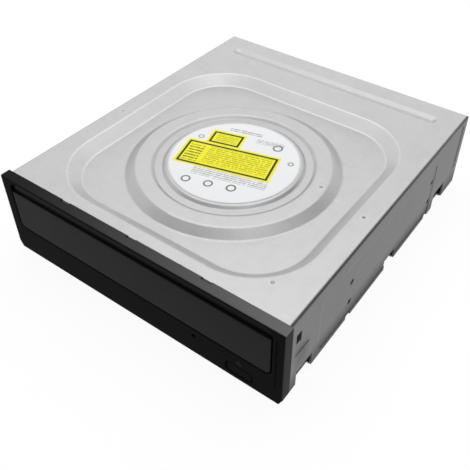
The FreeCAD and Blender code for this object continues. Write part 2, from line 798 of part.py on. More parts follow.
def make_tray():
    body = new_body()
    half = d.tray_width / 2
    front = d.door_sheet + 0.2
    pad(body, "top", (d.tray_bottom, d.tray_top), rect(both(half), (front, d.tray_rear), radius=3))
    runner = (d.tray_bottom, d.tray_bottom + d.runner)
    pad(body, "top", runner, rect(both(half + d.runner), (8, d.tray_rear - 1)))
    for side in (1, -1):
        rail = across(side, rack_line, d.rail_outer)
        pad(body, "top", (d.rail_bottom, d.tray_bottom + 0.5), rect(rail, (rack_start, d.tray_rear - 1)))
    pocket(body, "top", (d.well_floor, d.tray_top + 1), circle(0, d.disc_y, d.disc_well))
    pocket(body, "top", (d.small_floor, d.tray_top), circle(0, d.disc_y, d.small_well))
    pocket(body, "top", (d.tray_bottom - 1, d.tray_top), circle(0, d.disc_y, d.hub_hole))
    pocket(body, "top", (d.tray_bottom - 1, d.tray_top),
           rect(both(d.window_width / 2), (d.disc_y, d.window_rear), radius=4))
    # Finger dips at the front and sides of the well, and drain slots behind it
    pocket(body, "top", (d.well_floor, d.tray_top + 1), rect(both(14), (front + 1.6, 20), radius=2))
    through = (d.tray_bottom - 1, d.tray_top + 1)
    for side in (1, -1):
        pocket(body, "top", through, rect(across(side, 30, 54), (140, 150), radius=3))
    # Rack teeth towards the middle, one of them level with the drive gear at rest and one when it is out
    teeth = Size(
        1 + TEETH_AHEAD + round(d.tray_travel.value / rack_pitch.value),
        f"(1 + {TEETH_AHEAD} + round({(d.tray_travel / rack_pitch).text}))",
    )
    tip = -rack_line + d.rack_module * 1.95
    first = d.gear_y - rack_pitch * TEETH_AHEAD
    sketch = new_sketch(body, "top", d.rail_bottom)
    outline((-rack_line - 0.2, first - 1.05), (-rack_line, first - 1.05), (tip, first - 0.36),
            (tip, first + 0.36), (-rack_line, first + 1.05), (-rack_line - 0.2, first + 1.05))(sketch)
    tooth = body.newObject("PartDesign::Pad", "Tooth")
    tooth.Profile = sketch
    bind(tooth, "Length", d.tray_bottom + 0.5 - d.rail_bottom)
    pattern = body.newObject("PartDesign::LinearPattern", "Rack")
    pattern.Originals = [tooth]
    pattern.Direction = (sketch, ["V_Axis"])
    bind(pattern, "Length", rack_pitch * (teeth - 1))
    bind(pattern, "Occurrences", teeth)
    body.Tip = pattern
    return node(body, "disc_tray")


# Loading gears

def toothed(body, module, teeth, centre, limits, phase, hub=None):
    """A spur gear with straight-flanked teeth; phase turns its first tooth, in tooth pitches."""
    x, y = centre
    root = module * teeth / 2 - module * 1.2
    pad_gear = new_sketch(body, "top", as_size(limits[0]), x)
    bind(pad_gear, "AttachmentOffset.Base.y", y)
    circle(0, 0, root)(pad_gear)
    if hub is not None:
        circle(0, 0, hub)(pad_gear)
    disc = body.newObject("PartDesign::Pad", "Blank")
    disc.Profile = pad_gear
    bind(disc, "Length", limits[1] - as_size(limits[0]))
    sketch = new_sketch(body, "top", as_size(limits[0]), x)
    bind(sketch, "AttachmentOffset.Base.y", y)
    tip = module * teeth / 2 + module * 0.82
    angle = phase * 360 / teeth.value
    cosine, sine = math.cos(math.radians(angle)), math.sin(math.radians(angle))
    corners = []
    for radius, half in ((root - module * 0.3, 1.0), (root, 0.9), (tip, 0.3), (tip, -0.3), (root, -0.9),
                         (root - module * 0.3, -1.0)):
        corners.append((radius * cosine - module * half * sine, radius * sine + module * half * cosine))
    outline(*corners)(sketch)
    tooth = body.newObject("PartDesign::Pad", "Tooth")
    tooth.Profile = sketch
    bind(tooth, "Length", limits[1] - as_size(limits[0]))
    repeat_round(body, tooth, sketch, teeth)


def make_drive_gear():
    body = new_body()
    bore = d.axle_radius + d.slip
    wheel_top = d.wheel_low + d.wheel_thick
    pinion_top = d.tray_bottom - 0.6
    toothed(body, d.wheel_module, d.wheel_teeth, gear_centre, (d.wheel_low, wheel_top), 0, bore)
    toothed(body, d.rack_module, d.pinion_teeth, gear_centre, (wheel_top, pinion_top), 0.5, bore)
    return node(body, "drive_gear")


def make_pulley_gear():
    body = new_body()
    bore = d.axle_radius + d.slip
    wheel_top = d.wheel_low + d.wheel_thick + 0.3
    toothed(body, d.wheel_module, d.small_teeth, small_centre, (d.wheel_low, wheel_top), 0.5, bore)
    rim = d.pulley_radius
    belt_top = d.belt_low + d.belt_size
    turned(body, [(bore, wheel_top), (rim, wheel_top), (rim, d.belt_low - 0.1), (rim - 1, d.belt_low),
                  (rim - 1, belt_top), (rim, belt_top + 0.1), (rim, belt_top + 0.8), (bore, belt_top + 0.8)],
           x=small_centre[0], y=small_centre[1])
    return node(body, "pulley_gear")


def make_motor_pulley():
    body = new_body()
    rim = d.motor_pulley_radius
    belt_top = d.belt_low + d.belt_size
    turned(body, [(0, 14.4), (1.0, 14.4), (1.0, 15.7), (rim, 15.7), (rim, d.belt_low - 0.1),
                  (rim - 1, d.belt_low), (rim - 1, belt_top), (rim, belt_top + 0.1), (rim, belt_top + 0.9),
                  (0, belt_top + 0.9)], x=d.motor_x, y=d.motor_y)
    return node(body, "motor_pulley")


def make_belt():
    """The drive belt: two arcs of different radius and the straight runs that touch both."""
    value = {name: size.value for name, size in vars(d).items()}
    start = Vector(small_centre[0].value, small_centre[1].value, 0)
    end = Vector(value["motor_x"], value["motor_y"], 0)
    along = end - start
    faces = []
    for offset in (value["belt_size"], 0):
        big = value["pulley_radius"] - 1 + value["slip"] + offset
        small = value["motor_pulley_radius"] - 1 + value["slip"] + offset
        lean = math.acos((big - small) / along.Length)
        base = math.atan2(along.y, along.x)
        edges = []
        points = {}
        for side in (1, -1):
            direction = Vector(math.cos(base + side * lean), math.sin(base + side * lean), 0)
            points[side] = (start + direction * big, end + direction * small)
        unit = Vector(along).normalize()
        edges.append(Part.Arc(points[1][0], start - unit * big, points[-1][0]).toShape())
        edges.append(Part.makeLine(points[-1][0], points[-1][1]))
        edges.append(Part.Arc(points[-1][1], end + unit * small, points[1][1]).toShape())
        edges.append(Part.makeLine(points[1][1], points[1][0]))
        faces.append(Part.Face(Part.Wire(edges)))
    height = Vector(0, 0, value["belt_size"])
    shape = faces[0].extrude(height).cut(faces[1].extrude(height))
    shape.translate(Vector(0, 0, value["belt_low"]))
    belt = doc.addObject("Part::Feature", "Belt")
    belt.Shape = shape
    return node(belt, "loading_belt")


def make_loading_motor():
    can = rod(d.motor_x, d.motor_y, (1.5, 13.4), d.motor_radius - 0.2)
    collar = rod(d.motor_x, d.motor_y, (13.4, 14.1), 4.0)
    return node(fuse(can, collar), "loading_motor")


def make_gear_axles():
    tops = (d.tray_bottom - 0.4, d.belt_low + d.belt_size + 1.4)
    axles = [rod(x, y, (9.0, top), d.axle_radius) for (x, y), top in zip((gear_centre, small_centre), tops)]
    return node(group(*axles), "gear_axles")


# Cam slider and lift

pin_reach = d.pivot_y - d.slider_front - d.slider_thick / 2
tilt_sine = d.hub_raise / (d.pivot_y - d.disc_y)
pin_drop = pin_reach * tilt_sine
pin_rest = d.pin_z - pin_drop


def make_cam_slider():
    body = new_body()
    end = d.slider_front + d.slider_thick
    left = -(d.pin_x + d.slider_travel + 6)
    right = d.pin_x + 6
    pad(body, "front", (d.slider_front, end), rect((left, right), (d.slider_low, d.slider_high)))
    # Short rack that the wheel picks up once the tray is home
    pitch = math.pi * d.wheel_module
    for i in range(4):
        start = left + 0.6 + pitch * i
        root, tip = d.slider_front, d.slider_front - 0.7
        tooth = outline((start, root + 0.1), (start, root), (start + 0.35, tip), (start + 0.95, tip),
                        (start + 1.3, root), (start + 1.3, root + 0.1))
        pad(body, "top", (d.wheel_low, d.wheel_low + d.wheel_thick), tooth)
    room = d.pivot_radius + 0.35
    for pin in (-d.pin_x, d.pin_x):
        upper = pin - d.slider_travel
        pocket(body, "front", (d.slider_front - 1, end + 1),
               outline((pin + 2.4, pin_rest - room), (pin + 2.4, pin_rest + room),
                       (pin + 0.5, pin_rest + room),
                       (upper + 0.5, d.pin_z + room), (upper - 2.4, d.pin_z + room),
                       (upper - 2.4, d.pin_z - room), (upper - 0.5, d.pin_z - room),
                       (pin - 0.5, pin_rest - room)))
    return node(body, "cam_slider")


def make_lift_frame():
    body = new_body()
    top = d.lift_low + d.lift_thick
    pad(body, "top", (d.lift_low, top), rect(both(d.lift_half), (d.lift_front, d.lift_rear), radius=4))
    opening = rect(both(d.lift_half - 6), (d.lift_front + 6, d.lift_rear - 6))
    pocket(body, "top", (d.lift_low - 1, top), opening)
    for side in (1, -1):
        inner = across(side, d.damper_x - 4.6, d.lift_half)
        for y in (d.damper_front, d.damper_rear):
            pad(body, "top", (d.lift_low, top), rect(inner, (y - 4.6, y + 4.6)))
            pocket(body, "top", (d.lift_low + 0.8, top + 1), circle(d.damper_x * side, y, 1.25))
        # Pivot pins at the rear and cam pins at the front
        lug = (d.pin_x * side - 4, d.pin_x * side + 4)
        pad(body, "top", (d.lift_low, d.pin_z + 2.0), rect(lug, (d.lift_front, d.lift_front + 2.2)))
    pivot = (d.pivot_y, d.pivot_z, d.pivot_radius)
    pad(body, "side", across(1, d.lift_half - 2, 54.4), circle(*pivot))
    pad(body, "side", across(-1, d.lift_half - 2, 54.4), circle(*pivot))
    for side in (1, -1):
        pad(body, "front", (d.slider_front + 0.1, d.lift_front + 1),
            circle(d.pin_x * side, d.pin_z, d.pivot_radius))
    return node(body, "lift_frame", lift_tilt)


def make_traverse_plate():
    body = new_body()
    low = d.plate_low
    high = low + d.plate_thick
    front, rear = d.damper_front - 4.2, d.damper_rear + 4.4
    pad(body, "top", (low, high), rect(both(d.damper_x + 4.2), (front, rear), radius=4))
    travel_end = d.pickup_front + d.pickup_length + d.pickup_travel + 1.6
    pocket(body, "top", (low - 1, high),
           rect((-(d.rod_x + 5.5), d.screw_x + 5), (d.pickup_front - 3, travel_end), radius=2))
    pocket(body, "top", (low - 1, high),
           rect((d.screw_x - 6, d.screw_x + 6), (d.pickup_front - 19.4, d.pickup_front - 1)))
    for side in (1, -1):
        for y in (d.damper_front, d.damper_rear):
            pocket(body, "top", (low - 1, high), circle(d.damper_x * side, y, 3.1))
    pocket(body, "top", (low - 1, high), circle(0, d.disc_y, 6))
    # Bent tab that carries the sled motor
    pad(body, "front", (d.pickup_front - 3, d.pickup_front - 2.2),
        outline((d.screw_x + 12, low), (d.screw_x + 12, high + 5), (d.screw_x + 7, d.screw_z + 5),
                (d.screw_x - 6.2, d.screw_z + 5), (d.screw_x - 6.2, d.screw_z - 4),
                (d.screw_x + 5, d.screw_z - 4), (d.screw_x + 5, low)))
    pocket(body, "front", (d.pickup_front - 4, d.pickup_front - 2), circle(d.screw_x, d.screw_z, 2.4))
    return node(body, "traverse_plate", lift_tilt)


def make_dampers():
    low = d.lift_low + d.lift_thick
    neck = (d.plate_low - 0.1, d.plate_low + d.plate_thick + 0.1)
    rings = []
    for x, y in DAMPERS:
        solid = fuse(rod(x, y, (low, neck[0]), 4.0), rod(x, y, neck, 3.0),
                     rod(x, y, (neck[1], neck[1] + 0.9), 4.0))
        rings.append(cut(solid, rod(x, y, (low - 1, low + 5), 1.3)))
    return node(group(*rings), "traverse_dampers", lift_tilt)


def make_damper_screws():
    low = d.lift_low + 1.4
    seat = d.plate_low + d.plate_thick + 1.0
    screws = [fuse(rod(x, y, (low, seat), 1.2), rod(x, y, (seat, seat + 1.1), 3.2)) for x, y in DAMPERS]
    return node(group(*screws), "damper_screws", lift_tilt)


# Spindle

def make_spindle_base():
    body = new_body()
    low = d.plate_low + d.plate_thick
    pad(body, "top", (low, low + 0.8), rect(both(17), (d.disc_y - 16.5, d.pickup_front - 3), radius=3))
    seat = low + 0.8
    bore = d.rod_radius + d.slip
    turned(body, [(bore, seat - 0.2), (8.6, seat - 0.2), (8.6, seat + 0.6), (10.8, seat + 0.6),
                  (10.8, d.rotor_top - 1.7), (bore, d.rotor_top - 1.7)], y=d.disc_y)
    return node(body, "spindle_motor_base", lift_tilt)


def make_rotor():
    body = new_body()
    low = d.plate_low + d.plate_thick + 1.4
    top = d.rotor_top
    turned(body, [(0, low), (d.rod_radius, low), (d.rod_radius, top - 1), (d.rotor_radius - 1, top - 1),
                  (d.rotor_radius - 1, low), (d.rotor_radius, low), (d.rotor_radius, top - 0.6),
                  (d.rotor_radius - 0.6, top), (0, top)], y=d.disc_y)
    return node(body, "spindle_rotor", lift_tilt)


def make_turntable():
    body = new_body()
    rim = d.turntable_radius
    seat = d.disc_seat
    turned(body, [(0, d.rotor_top), (6, d.rotor_top), (6, d.rotor_top + 1), (rim, d.rotor_top + 1),
                  (rim, seat - 0.8), (rim - 0.4, seat - 0.5), (8.6, seat - 0.5), (8.6, seat - 0.2),
                  (d.hub_radius, seat - 0.2), (d.hub_radius, seat + 0.5), (d.hub_radius - 1.4, seat + 1.7),
                  (0, seat + 1.7)], y=d.disc_y)
    return node(body, "turntable", lift_tilt)


def make_turntable_ring():
    body = new_body()
    seat = d.disc_seat
    turned(body, [(9.8, seat - 0.5), (13.6, seat - 0.5), (13.6, seat), (9.8, seat)], y=d.disc_y)
    return node(body, "turntable_ring", lift_tilt)


# Pickup and sled

def make_pickup_housing():
    body = new_body()
    half = d.rod_x + 3.8
    front, rear = d.pickup_front, d.pickup_front + d.pickup_length
    pad(body, "top", (13.4, 22.0), rect(both(half), (front, rear), radius=2))
    # Waist between the rod bearings and pocket under the lens
    for side in (1, -1):
        pocket(body, "top", (13, 22), rect(across(side, 17.5, half + 1), (front + 5.5, rear - 5.5)))
    pocket(body, "top", (12, 15.2), rect(both(12), (front + 2, rear - 2)))
    pocket(body, "front", (front - 1, rear + 1), circle(-d.rod_x, d.rod_z, d.rod_radius + d.slip),
           circle(d.rod_x, d.rod_z, d.rod_radius + d.slip))
    return node(body, "pickup_housing", lift_tilt)


def make_lens_cover():
    body = new_body()
    front = d.lens_y - 6.3
    pad(body, "top", (22.0, d.lens_top - 1.0), rect(both(10), (front, front + 15), radius=1.5))
    pocket(body, "top", (22.0, d.lens_top), circle(0, d.lens_y, 3.1))
    return node(body, "lens_cover", lift_tilt)


def make_lens():
    body = new_body()
    turned(body, [(0, 22.0), (2.9, 22.0), (2.9, d.lens_top - 0.9), (2.2, d.lens_top - 0.4),
                  (1.2, d.lens_top - 0.08), (0, d.lens_top)], y=d.lens_y)
    return node(body, "objective_lens", lift_tilt)


def make_follower():
    arm = box((d.rod_x + 3.8, d.screw_x - d.screw_radius - 0.2),
              (d.pickup_front + 1, d.pickup_front + 5), (d.screw_z - 1.2, d.screw_z + 1.2))
    return node(group(arm), "sled_follower", lift_tilt)


def make_guide_rods():
    reach = (d.pickup_front - 6.5, d.damper_rear + 4.0)
    rods = [rod(d.rod_x * side, reach, d.rod_z, d.rod_radius) for side in (-1, 1)]
    return node(group(*rods), "guide_rods", lift_tilt)


def make_rod_holders():
    low = d.plate_low + d.plate_thick
    rear = d.pickup_front + d.pickup_length + d.pickup_travel + 1.8
    blocks = []
    for side in (1, -1):
        for y in ((d.pickup_front - 6.5, d.pickup_front - 3.2), (rear, rear + 3.2)):
            x = (d.rod_x * side - 2.8, d.rod_x * side + 2.8)
            blocks.append(cut(box(x, y, (low, d.rod_z + 2.6)), rod(d.rod_x * side, y, d.rod_z, d.rod_radius)))
    bearing = box((d.screw_x - 3, d.screw_x + 3), (rear, rear + 3.2), (low, d.screw_z + 2.6))
    blocks.append(cut(bearing, rod(d.screw_x, (rear - 1, rear + 1.8), d.screw_z, 0.9 + d.slip)))
    return node(group(*blocks), "rod_holders", lift_tilt)


def make_sled_motor():
    rear = d.pickup_front - 3
    can = rod(d.screw_x, (rear - 15.6, rear), d.screw_z, d.sled_motor_radius)
    ring = rod(d.screw_x, (rear - 16.2, rear - 15.6), d.screw_z, 2.4)
    bore = rod(d.screw_x, (rear - 6, rear + 1), d.screw_z, 0.9 + d.slip)
    return node(cut(fuse(can, ring), bore), "sled_motor", lift_tilt)


def make_lead_screw():
    start = d.pickup_front - 2
    end = d.pickup_front + d.pickup_length + d.pickup_travel + 1.4
    screw = fuse(rod(d.screw_x, (start - 5, start), d.screw_z, 0.9), rod(d.screw_x, (start, end), d.screw_z,
                 d.screw_radius), rod(d.screw_x, (end, end + 1.8), d.screw_z, 0.9))
    return node(screw, "lead_screw", lift_tilt)


# Clamper

def make_bridge():
    body = new_body()
    low = bridge_low
    pad(body, "top", (low, low + d.plastic), rect(both(chassis_half), (d.bridge_front, d.bridge_rear)))
    for side in (1, -1):
        window = rect(across(side, 26, 58), (d.disc_y - 11, d.disc_y + 11), radius=4)
        pocket(body, "top", (low - 1, low + 3), window)
    for y in (d.bridge_front + 2.5, d.bridge_rear - 4):
        pad(body, "top", (low + 1, low + 4), rect(both(58), (y, y + 1.5)))
    collar = [circle(0, d.disc_y, d.clamper_hole + margin) for margin in (6, 4.6)]
    pad(body, "top", (low + 1, low + 4.4), *collar)
    pocket(body, "top", (low - 1, low + 5), circle(0, d.disc_y, d.clamper_hole))
    for x, y in BRIDGE_SCREWS:
        pocket(body, "top", (low - 1, low + 5), circle(x, y, 1.3))
    return node(body, "clamper_bridge")


def make_bridge_screws():
    seat = bridge_low + d.plastic
    screws = [fuse(rod(x, y, (bridge_low - 1.3, seat), 1.05), rod(x, y, (seat, seat + 1.2), 2.4))
              for x, y in BRIDGE_SCREWS]
    return node(group(*screws), "bridge_screws")


def make_clamper():
    body = new_body()
    seat = bridge_low + d.plastic + d.joint_gap
    pad_z = d.clamper_pad
    outer = d.clamper_hole - 0.5
    turned(body, [(0, seat), (8.4, seat), (8.4, pad_z), (13.4, pad_z), (13.4, pad_z + 0.5),
                  (outer, pad_z + 0.9), (outer, seat), (outer + 3.0, seat), (outer + 3.0, seat + 1.2),
                  (0, seat + 1.2)], y=d.disc_y)
    return node(body, "clamper_disc")


def make_clamper_plate():
    body = new_body()
    low = bridge_low + d.plastic + d.joint_gap + 1.2
    turned(body, [(0, low), (9.0, low), (9.0, low + 0.5), (3.0, low + 0.5), (2.4, low + 1.0), (0, low + 1.0)],
           y=d.disc_y)
    return node(body, "clamper_plate")


# Circuit boards and connectors

def make_board():
    body = new_body()
    low, high = d.board_low, d.board_low + d.board
    step = board_rear - 24
    pad(body, "top", (low, high),
        outline((-d.board_half, d.board_front), (board_right, d.board_front), (board_right, step),
                (d.board_half, step), (d.board_half, board_rear), (-d.board_half, board_rear)))
    for x, y in BOARD_SCREWS:
        pocket(body, "top", (low - 1, high), circle(x, y, 1.3))
    return node(body, "main_circuit_board")


def make_board_screws():
    low = d.board_low
    screws = [fuse(rod(x, y, (low - 1.3, low), 2.3), rod(x, y, (low, low + 3.2), 1.05))
              for x, y in BOARD_SCREWS]
    return node(group(*screws), "board_screws")


def make_chips():
    top = d.board_low + d.board
    places = ((-18, 118, 10, 10, 1.2), (10, 122, 7, 7, 1.0), (34, 112, 5.5, 9, 1.1), (-40, 124, 4, 6, 1.0))
    chips = [box((x - a, x + a), (y - b, y + b), (top, top + tall)) for x, y, a, b, tall in places]
    return node(group(*chips), "board_chips")


def make_capacitors():
    top = d.board_low + d.board
    caps = [rod(x, y, (top, top + tall), 2.0) for x, y, tall in
            ((-52, 134, 5.4), (-52, 116, 5.4), (-44, board_rear - 4.5, 6.0), (-36, board_rear - 4.5, 6.0))]
    return node(group(*caps), "board_capacitors")


def make_ribbon_sockets():
    top = d.board_low + d.board
    low = d.board_low
    sockets = [box((-12, 12), (102, 105), (top, top + 1.4)), box((24, 40), (128, 131), (top, top + 1.4)),
               box((57.5, 65.5), (98, 101.5), (low - 1.4, low)), box((57.5, 65.5), (24, 26), (1.6, 3.4))]
    return node(group(*sockets), "ribbon_sockets")


def make_sata():
    body = new_body()
    low = d.board_low + d.board
    half = d.sata_width / 2
    front = d.total_depth - d.sata_depth
    rear = d.total_depth - 0.2
    pad(body, "front", (front, rear), rect((d.sata_x - half, d.sata_x + half), (low, low + d.sata_height)))
    # Two mouths with a contact tongue in each: the wide one for power, the narrow one for data
    for start, end in ((-half + 1.2, 4.0), (6.6, half - 1.2)):
        mouth = (d.sata_x + start, d.sata_x + end)
        pocket(body, "front", (rear - 6.5, rear + 1), rect(mouth, (low + 1.0, low + d.sata_height - 1.0)))
        pad(body, "front", (rear - 7, rear - 0.8),
            rect((mouth[0] + 1.2, mouth[1] - 1.2), (low + 2.9, low + 4.1)))
    return node(body, "sata_connector")


def make_switch_board():
    body = new_body()
    pad(body, "top", (1.4, 2.6),
        outline((38, 8.6), (56.5, 8.6), (56.5, 19.6), (66, 19.6), (66, 24), (38, 24)))
    return node(body, "switch_board")


def make_eject_switch():
    x = d.button_x
    case = box((x - 3, x + 3), (d.switch_front, d.switch_front + 4), (2.6, 7.4))
    stem = rod(x, (d.switch_front - d.switch_stem, d.switch_front), d.button_z, 1.2)
    return node(fuse(case, stem), "eject_switch")


def make_ribbon():
    return node(group(box((58, 65), (26, 98), (2.2, 2.4))), "switch_ribbon")


for make in (make_top_cover, make_bottom_cover, make_cover_screws, make_label, make_bezel, make_door,
             make_button, make_chassis, make_tray, make_drive_gear, make_pulley_gear, make_motor_pulley,
             make_belt,
             make_loading_motor, make_gear_axles, make_cam_slider, make_lift_frame, make_traverse_plate,
             make_dampers, make_damper_screws, make_spindle_base, make_rotor, make_turntable,
             make_turntable_ring, make_pickup_housing, make_lens_cover, make_lens, make_follower,
             make_guide_rods, make_rod_holders, make_sled_motor, make_lead_screw, make_bridge,
             make_bridge_screws, make_clamper, make_clamper_plate, make_board, make_board_screws, make_chips,
             make_capacitors, make_ribbon_sockets, make_sata, make_switch_board, make_eject_switch,
             make_ribbon):
    make()

doc.recompute()
faults = [obj.Label for obj in doc.Objects if "Invalid" in obj.State or "Error" in obj.State]
faults += [piece.Label for piece in NODES if piece.Shape.isNull() or not piece.Shape.isValid()]
if faults:
    raise ValueError("failed objects: " + ", ".join(faults))

os.makedirs("parts", exist_ok=True)
for piece in NODES:
    piece.Shape.exportStep(f"parts/{piece.Label}.step")
    print(piece.Label, len(piece.Shape.Solids), round(piece.Shape.Volume, 1))
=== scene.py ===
import math

import bpy
from mathutils import Matrix, Vector
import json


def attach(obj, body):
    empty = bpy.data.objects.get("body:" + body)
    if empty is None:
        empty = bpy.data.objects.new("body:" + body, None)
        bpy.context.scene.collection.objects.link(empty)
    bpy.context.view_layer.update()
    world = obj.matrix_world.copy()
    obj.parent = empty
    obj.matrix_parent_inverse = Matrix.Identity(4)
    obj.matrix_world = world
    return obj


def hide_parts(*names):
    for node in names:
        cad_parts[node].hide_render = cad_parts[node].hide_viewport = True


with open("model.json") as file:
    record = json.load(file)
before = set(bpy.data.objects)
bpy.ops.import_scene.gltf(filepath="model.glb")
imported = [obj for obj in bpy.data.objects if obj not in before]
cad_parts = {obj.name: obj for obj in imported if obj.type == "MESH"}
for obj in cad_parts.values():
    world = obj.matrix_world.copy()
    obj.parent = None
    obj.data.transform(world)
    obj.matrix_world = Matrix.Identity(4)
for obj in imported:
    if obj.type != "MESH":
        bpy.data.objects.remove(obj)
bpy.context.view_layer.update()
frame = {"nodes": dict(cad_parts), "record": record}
MM = 0.001

# Places in the frame, in millimetres: the bezel's face, the middle of the boss and its label,
# and the upper side of the main circuit board
BEZEL_FACE = -83.75
BOSS_CENTRE = (0.0, -13.75)
BOARD_TOP = 4.6


# Nodes of a material, written as sums and products

class Value:
    """One output socket, so that masks and heights can be written as plain maths."""

    def __init__(self, finish, socket):
        self.finish = finish
        self.socket = socket

    def math(self, operation, *others):
        return self.finish.add("Math", {"operation": operation}, dict(enumerate((self, *others))))

    def __add__(self, other):
        return self.math("ADD", other)

    def __radd__(self, other):
        return self + other

    def __sub__(self, other):
        return self.math("SUBTRACT", other)

    def __rsub__(self, other):
        return self * -1 + other

    def __mul__(self, other):
        return self.math("MULTIPLY", other)

    def __truediv__(self, other):
        return self.math("DIVIDE", other)

    def __abs__(self):
        return self.math("ABSOLUTE")

    def power(self, other):
        return self.math("POWER", other)

    def most(self, other):
        return self.math("MAXIMUM", other)

    def above(self, edge, soft):
        """0 below the edge and 1 above it, over a soft width to both sides."""
        return self.finish.add(
            "MapRange",
            {"interpolation_type": "SMOOTHSTEP"},
            {"Value": self, "From Min": edge - soft, "From Max": edge + soft},
        )

    def below(self, edge, soft):
        return 1 - self.above(edge, soft)

    def wave(self, period):
        """A smooth wave from 0 to 1 that repeats over the period."""
        return (self * (2 * math.pi / period)).math("SINE") * 0.5 + 0.5


class Finish:
    """A material whose patterns are measured in millimetres of the drive's own frame."""

    def __init__(self, name, roughness, metallic=0.0, **constants):
        self.material = bpy.data.materials.new(name)
        self.material.use_nodes = True
        self.tree = self.material.node_tree
        self.shader = self.tree.nodes["Principled BSDF"]
        constants = {"Roughness": roughness, "Metallic": metallic, **constants}
        for socket, value in constants.items():
            self.shader.inputs[socket.replace("_", " ")].default_value = value
        place = self.add("TexCoord", outputs="Object")
        self.place = self.add(
            "VectorMath", {"operation": "SCALE"}, {"Vector": place, "Scale": 1 / MM}
        )
        parts = self.add("SeparateXYZ", inputs={"Vector": self.place}, outputs=("X", "Y", "Z"))
        self.x, self.y, self.z = parts

    def add(self, kind, settings=None, inputs=None, outputs=0):
        """Adds a node: its settings first, then the values or links of its sockets."""
        node = self.tree.nodes.new("ShaderNode" + kind)
        for name, value in (settings or {}).items():
            setattr(node, name, value)
        for name, value in (inputs or {}).items():
            if isinstance(value, Value):
                self.tree.links.new(value.socket, node.inputs[name])
            else:
                node.inputs[name].default_value = value
        if isinstance(outputs, tuple):
            return [Value(self, node.outputs[name]) for name in outputs]
        return Value(self, node.outputs[outputs])

    def stretched(self, factors):
        """The place, with each axis multiplied by its factor."""
        return self.add("VectorMath", {"operation": "MULTIPLY"}, {0: self.place, 1: factors})

    def noise(self, size, detail, stretch=(1, 1, 1), rough=0.55):
        """Soft noise from 0 to 1 whose blotches are about the size in millimetres."""
        place = self.stretched(stretch)
        inputs = {"Vector": place, "Scale": 1 / size, "Detail": detail, "Roughness": rough}
        return self.add("TexNoise", inputs=inputs)

    def cells(self, size, feature="F1", stretch=(1, 1, 1)):
        """Distances in a pattern of cells that are about the size in millimetres."""
        inputs = {"Vector": self.stretched(stretch), "Scale": 1 / size}
        return self.add("TexVoronoi", {"feature": feature}, inputs, "Distance")

    def turned(self, centre, degrees):
        """Two axes in the x-y plane, turned about a centre."""
        turn = math.radians(degrees)
        dx, dy = self.x - centre[0], self.y - centre[1]
        along = dx * math.cos(turn) + dy * math.sin(turn)
        across = dy * math.cos(turn) - dx * math.sin(turn)
        return along, across

    def reach(self, centre):
        """Distance from an upright line through a centre in the x-y plane."""
        return distance(self.x - centre[0], self.y - centre[1])

    def mix(self, mask, first, second):
        """The first colour where the mask is 0 and the second where it is 1."""
        first, second = (c if isinstance(c, Value) else (*c, 1.0) for c in (first, second))
        # The node has sockets of each kind: inputs 6 and 7 and output 2 are those of colours
        return self.add("Mix", {"data_type": "RGBA"}, {0: mask, 6: first, 7: second}, 2)

    def paint(self, **links):
        for name, value in links.items():
            self.tree.links.new(value.socket, self.shader.inputs[name.replace("_", " ")])

    def bump(self, height, depth, rounding=0.0):
        """Bumps whose full height is the depth in millimetres, over softly rounded edges."""
        inputs = {"Height": height, "Distance": depth * MM, "Strength": 1.0}
        if rounding:
            inputs["Normal"] = self.add("Bevel", inputs={"Radius": rounding * MM})
        self.paint(Normal=self.add("Bump", inputs=inputs))


def distance(x, y):
    """Length of the line from the middle of two axes."""
    return (x.power(2.0) + y.power(2.0)).math("SQRT")


def block(x, y, half_x, half_y, soft=0.06):
    """1 inside a rectangle of two axes centred on zero, 0 outside."""
    return abs(x).below(half_x, soft) * abs(y).below(half_y, soft)


def rounded_edge(x, y, half_x, half_y, radius):
    """Distance outside a rounded rectangle's edge, less than zero inside it."""
    far_x = (abs(x) - (half_x - radius)).most(0.0)
    far_y = (abs(y) - (half_y - radius)).most(0.0)
    return distance(far_x, far_y) - radius


def grey(tone):
    return tone, tone, tone


# Finishes

# Marks of the press tool on the top cover: x, y and how dark the painted shade in each pit is,
# which also sets the painted highlight on its ring
PRESS_MARKS = (
    (66.5, -14.75, 0.7),
    (-68.0, -14.75, 0.35),
    (56.3, -65.75, 0.35),
    (41.6, -6.8, 0.5),
)
FRONT_BLACKS = (0.007, 0.007, 0.008), (0.012, 0.012, 0.013)


def cover_steel(name, top_cover=False):
    """Coated sheet, smeared and scuffed; the top cover also shows its pressing and its wear, with
    painted light and shade.
    """
    steel = Finish(name, roughness=0.42, metallic=0.6)
    blotch = steel.noise(26, 4)
    grain = steel.noise(0.5, 2)
    rolled = steel.noise(1.4, 3, stretch=(1, 0.08, 1))
    tone = blotch * 0.10 + grain * 0.10 + rolled * 0.06
    colour = steel.mix(tone * 3.0, grey(0.27), (0.38, 0.38, 0.377))
    scuff = steel.noise(3.0, 6, stretch=(0.25, 1, 1), rough=0.75).above(0.66, 0.03)
    colour = steel.mix(scuff * 0.2, colour, grey(0.5))
    smear = steel.noise(7, 5, stretch=(1, 1, 0.4), rough=0.7).above(0.56, 0.12)
    colour = steel.mix(smear * 0.12, colour, grey(0.2))
    height = grain * 0.5 + rolled * 0.5
    if top_cover:
        # Painted highlight on the slopes of the large recess
        colour = painted_slope_highlight(steel, colour)
        # Press marks, with painted shade in their pits and painted highlights on their rings
        colour, height = press_marks(steel, colour, height)
        # Side walls: painted shade on the bend and a dent, a painted highlight on the panel border,
        # rubbed spots and a darker foot
        colour = side_wall_wear_and_shade(steel, colour, blotch)
        # Painted shade: the tabs that reach into the front frame are painted nearly black
        tab_shade = steel.y.below(-78.88, 0.05)
        colour = steel.mix(tab_shade, colour, grey(0.01))
    steel.paint(Base_Color=colour, Roughness=0.33 + blotch * 0.1 + grain * 0.05)
    steel.bump(height, 0.012, rounding=0.5 if top_cover else 0.0)
    return steel


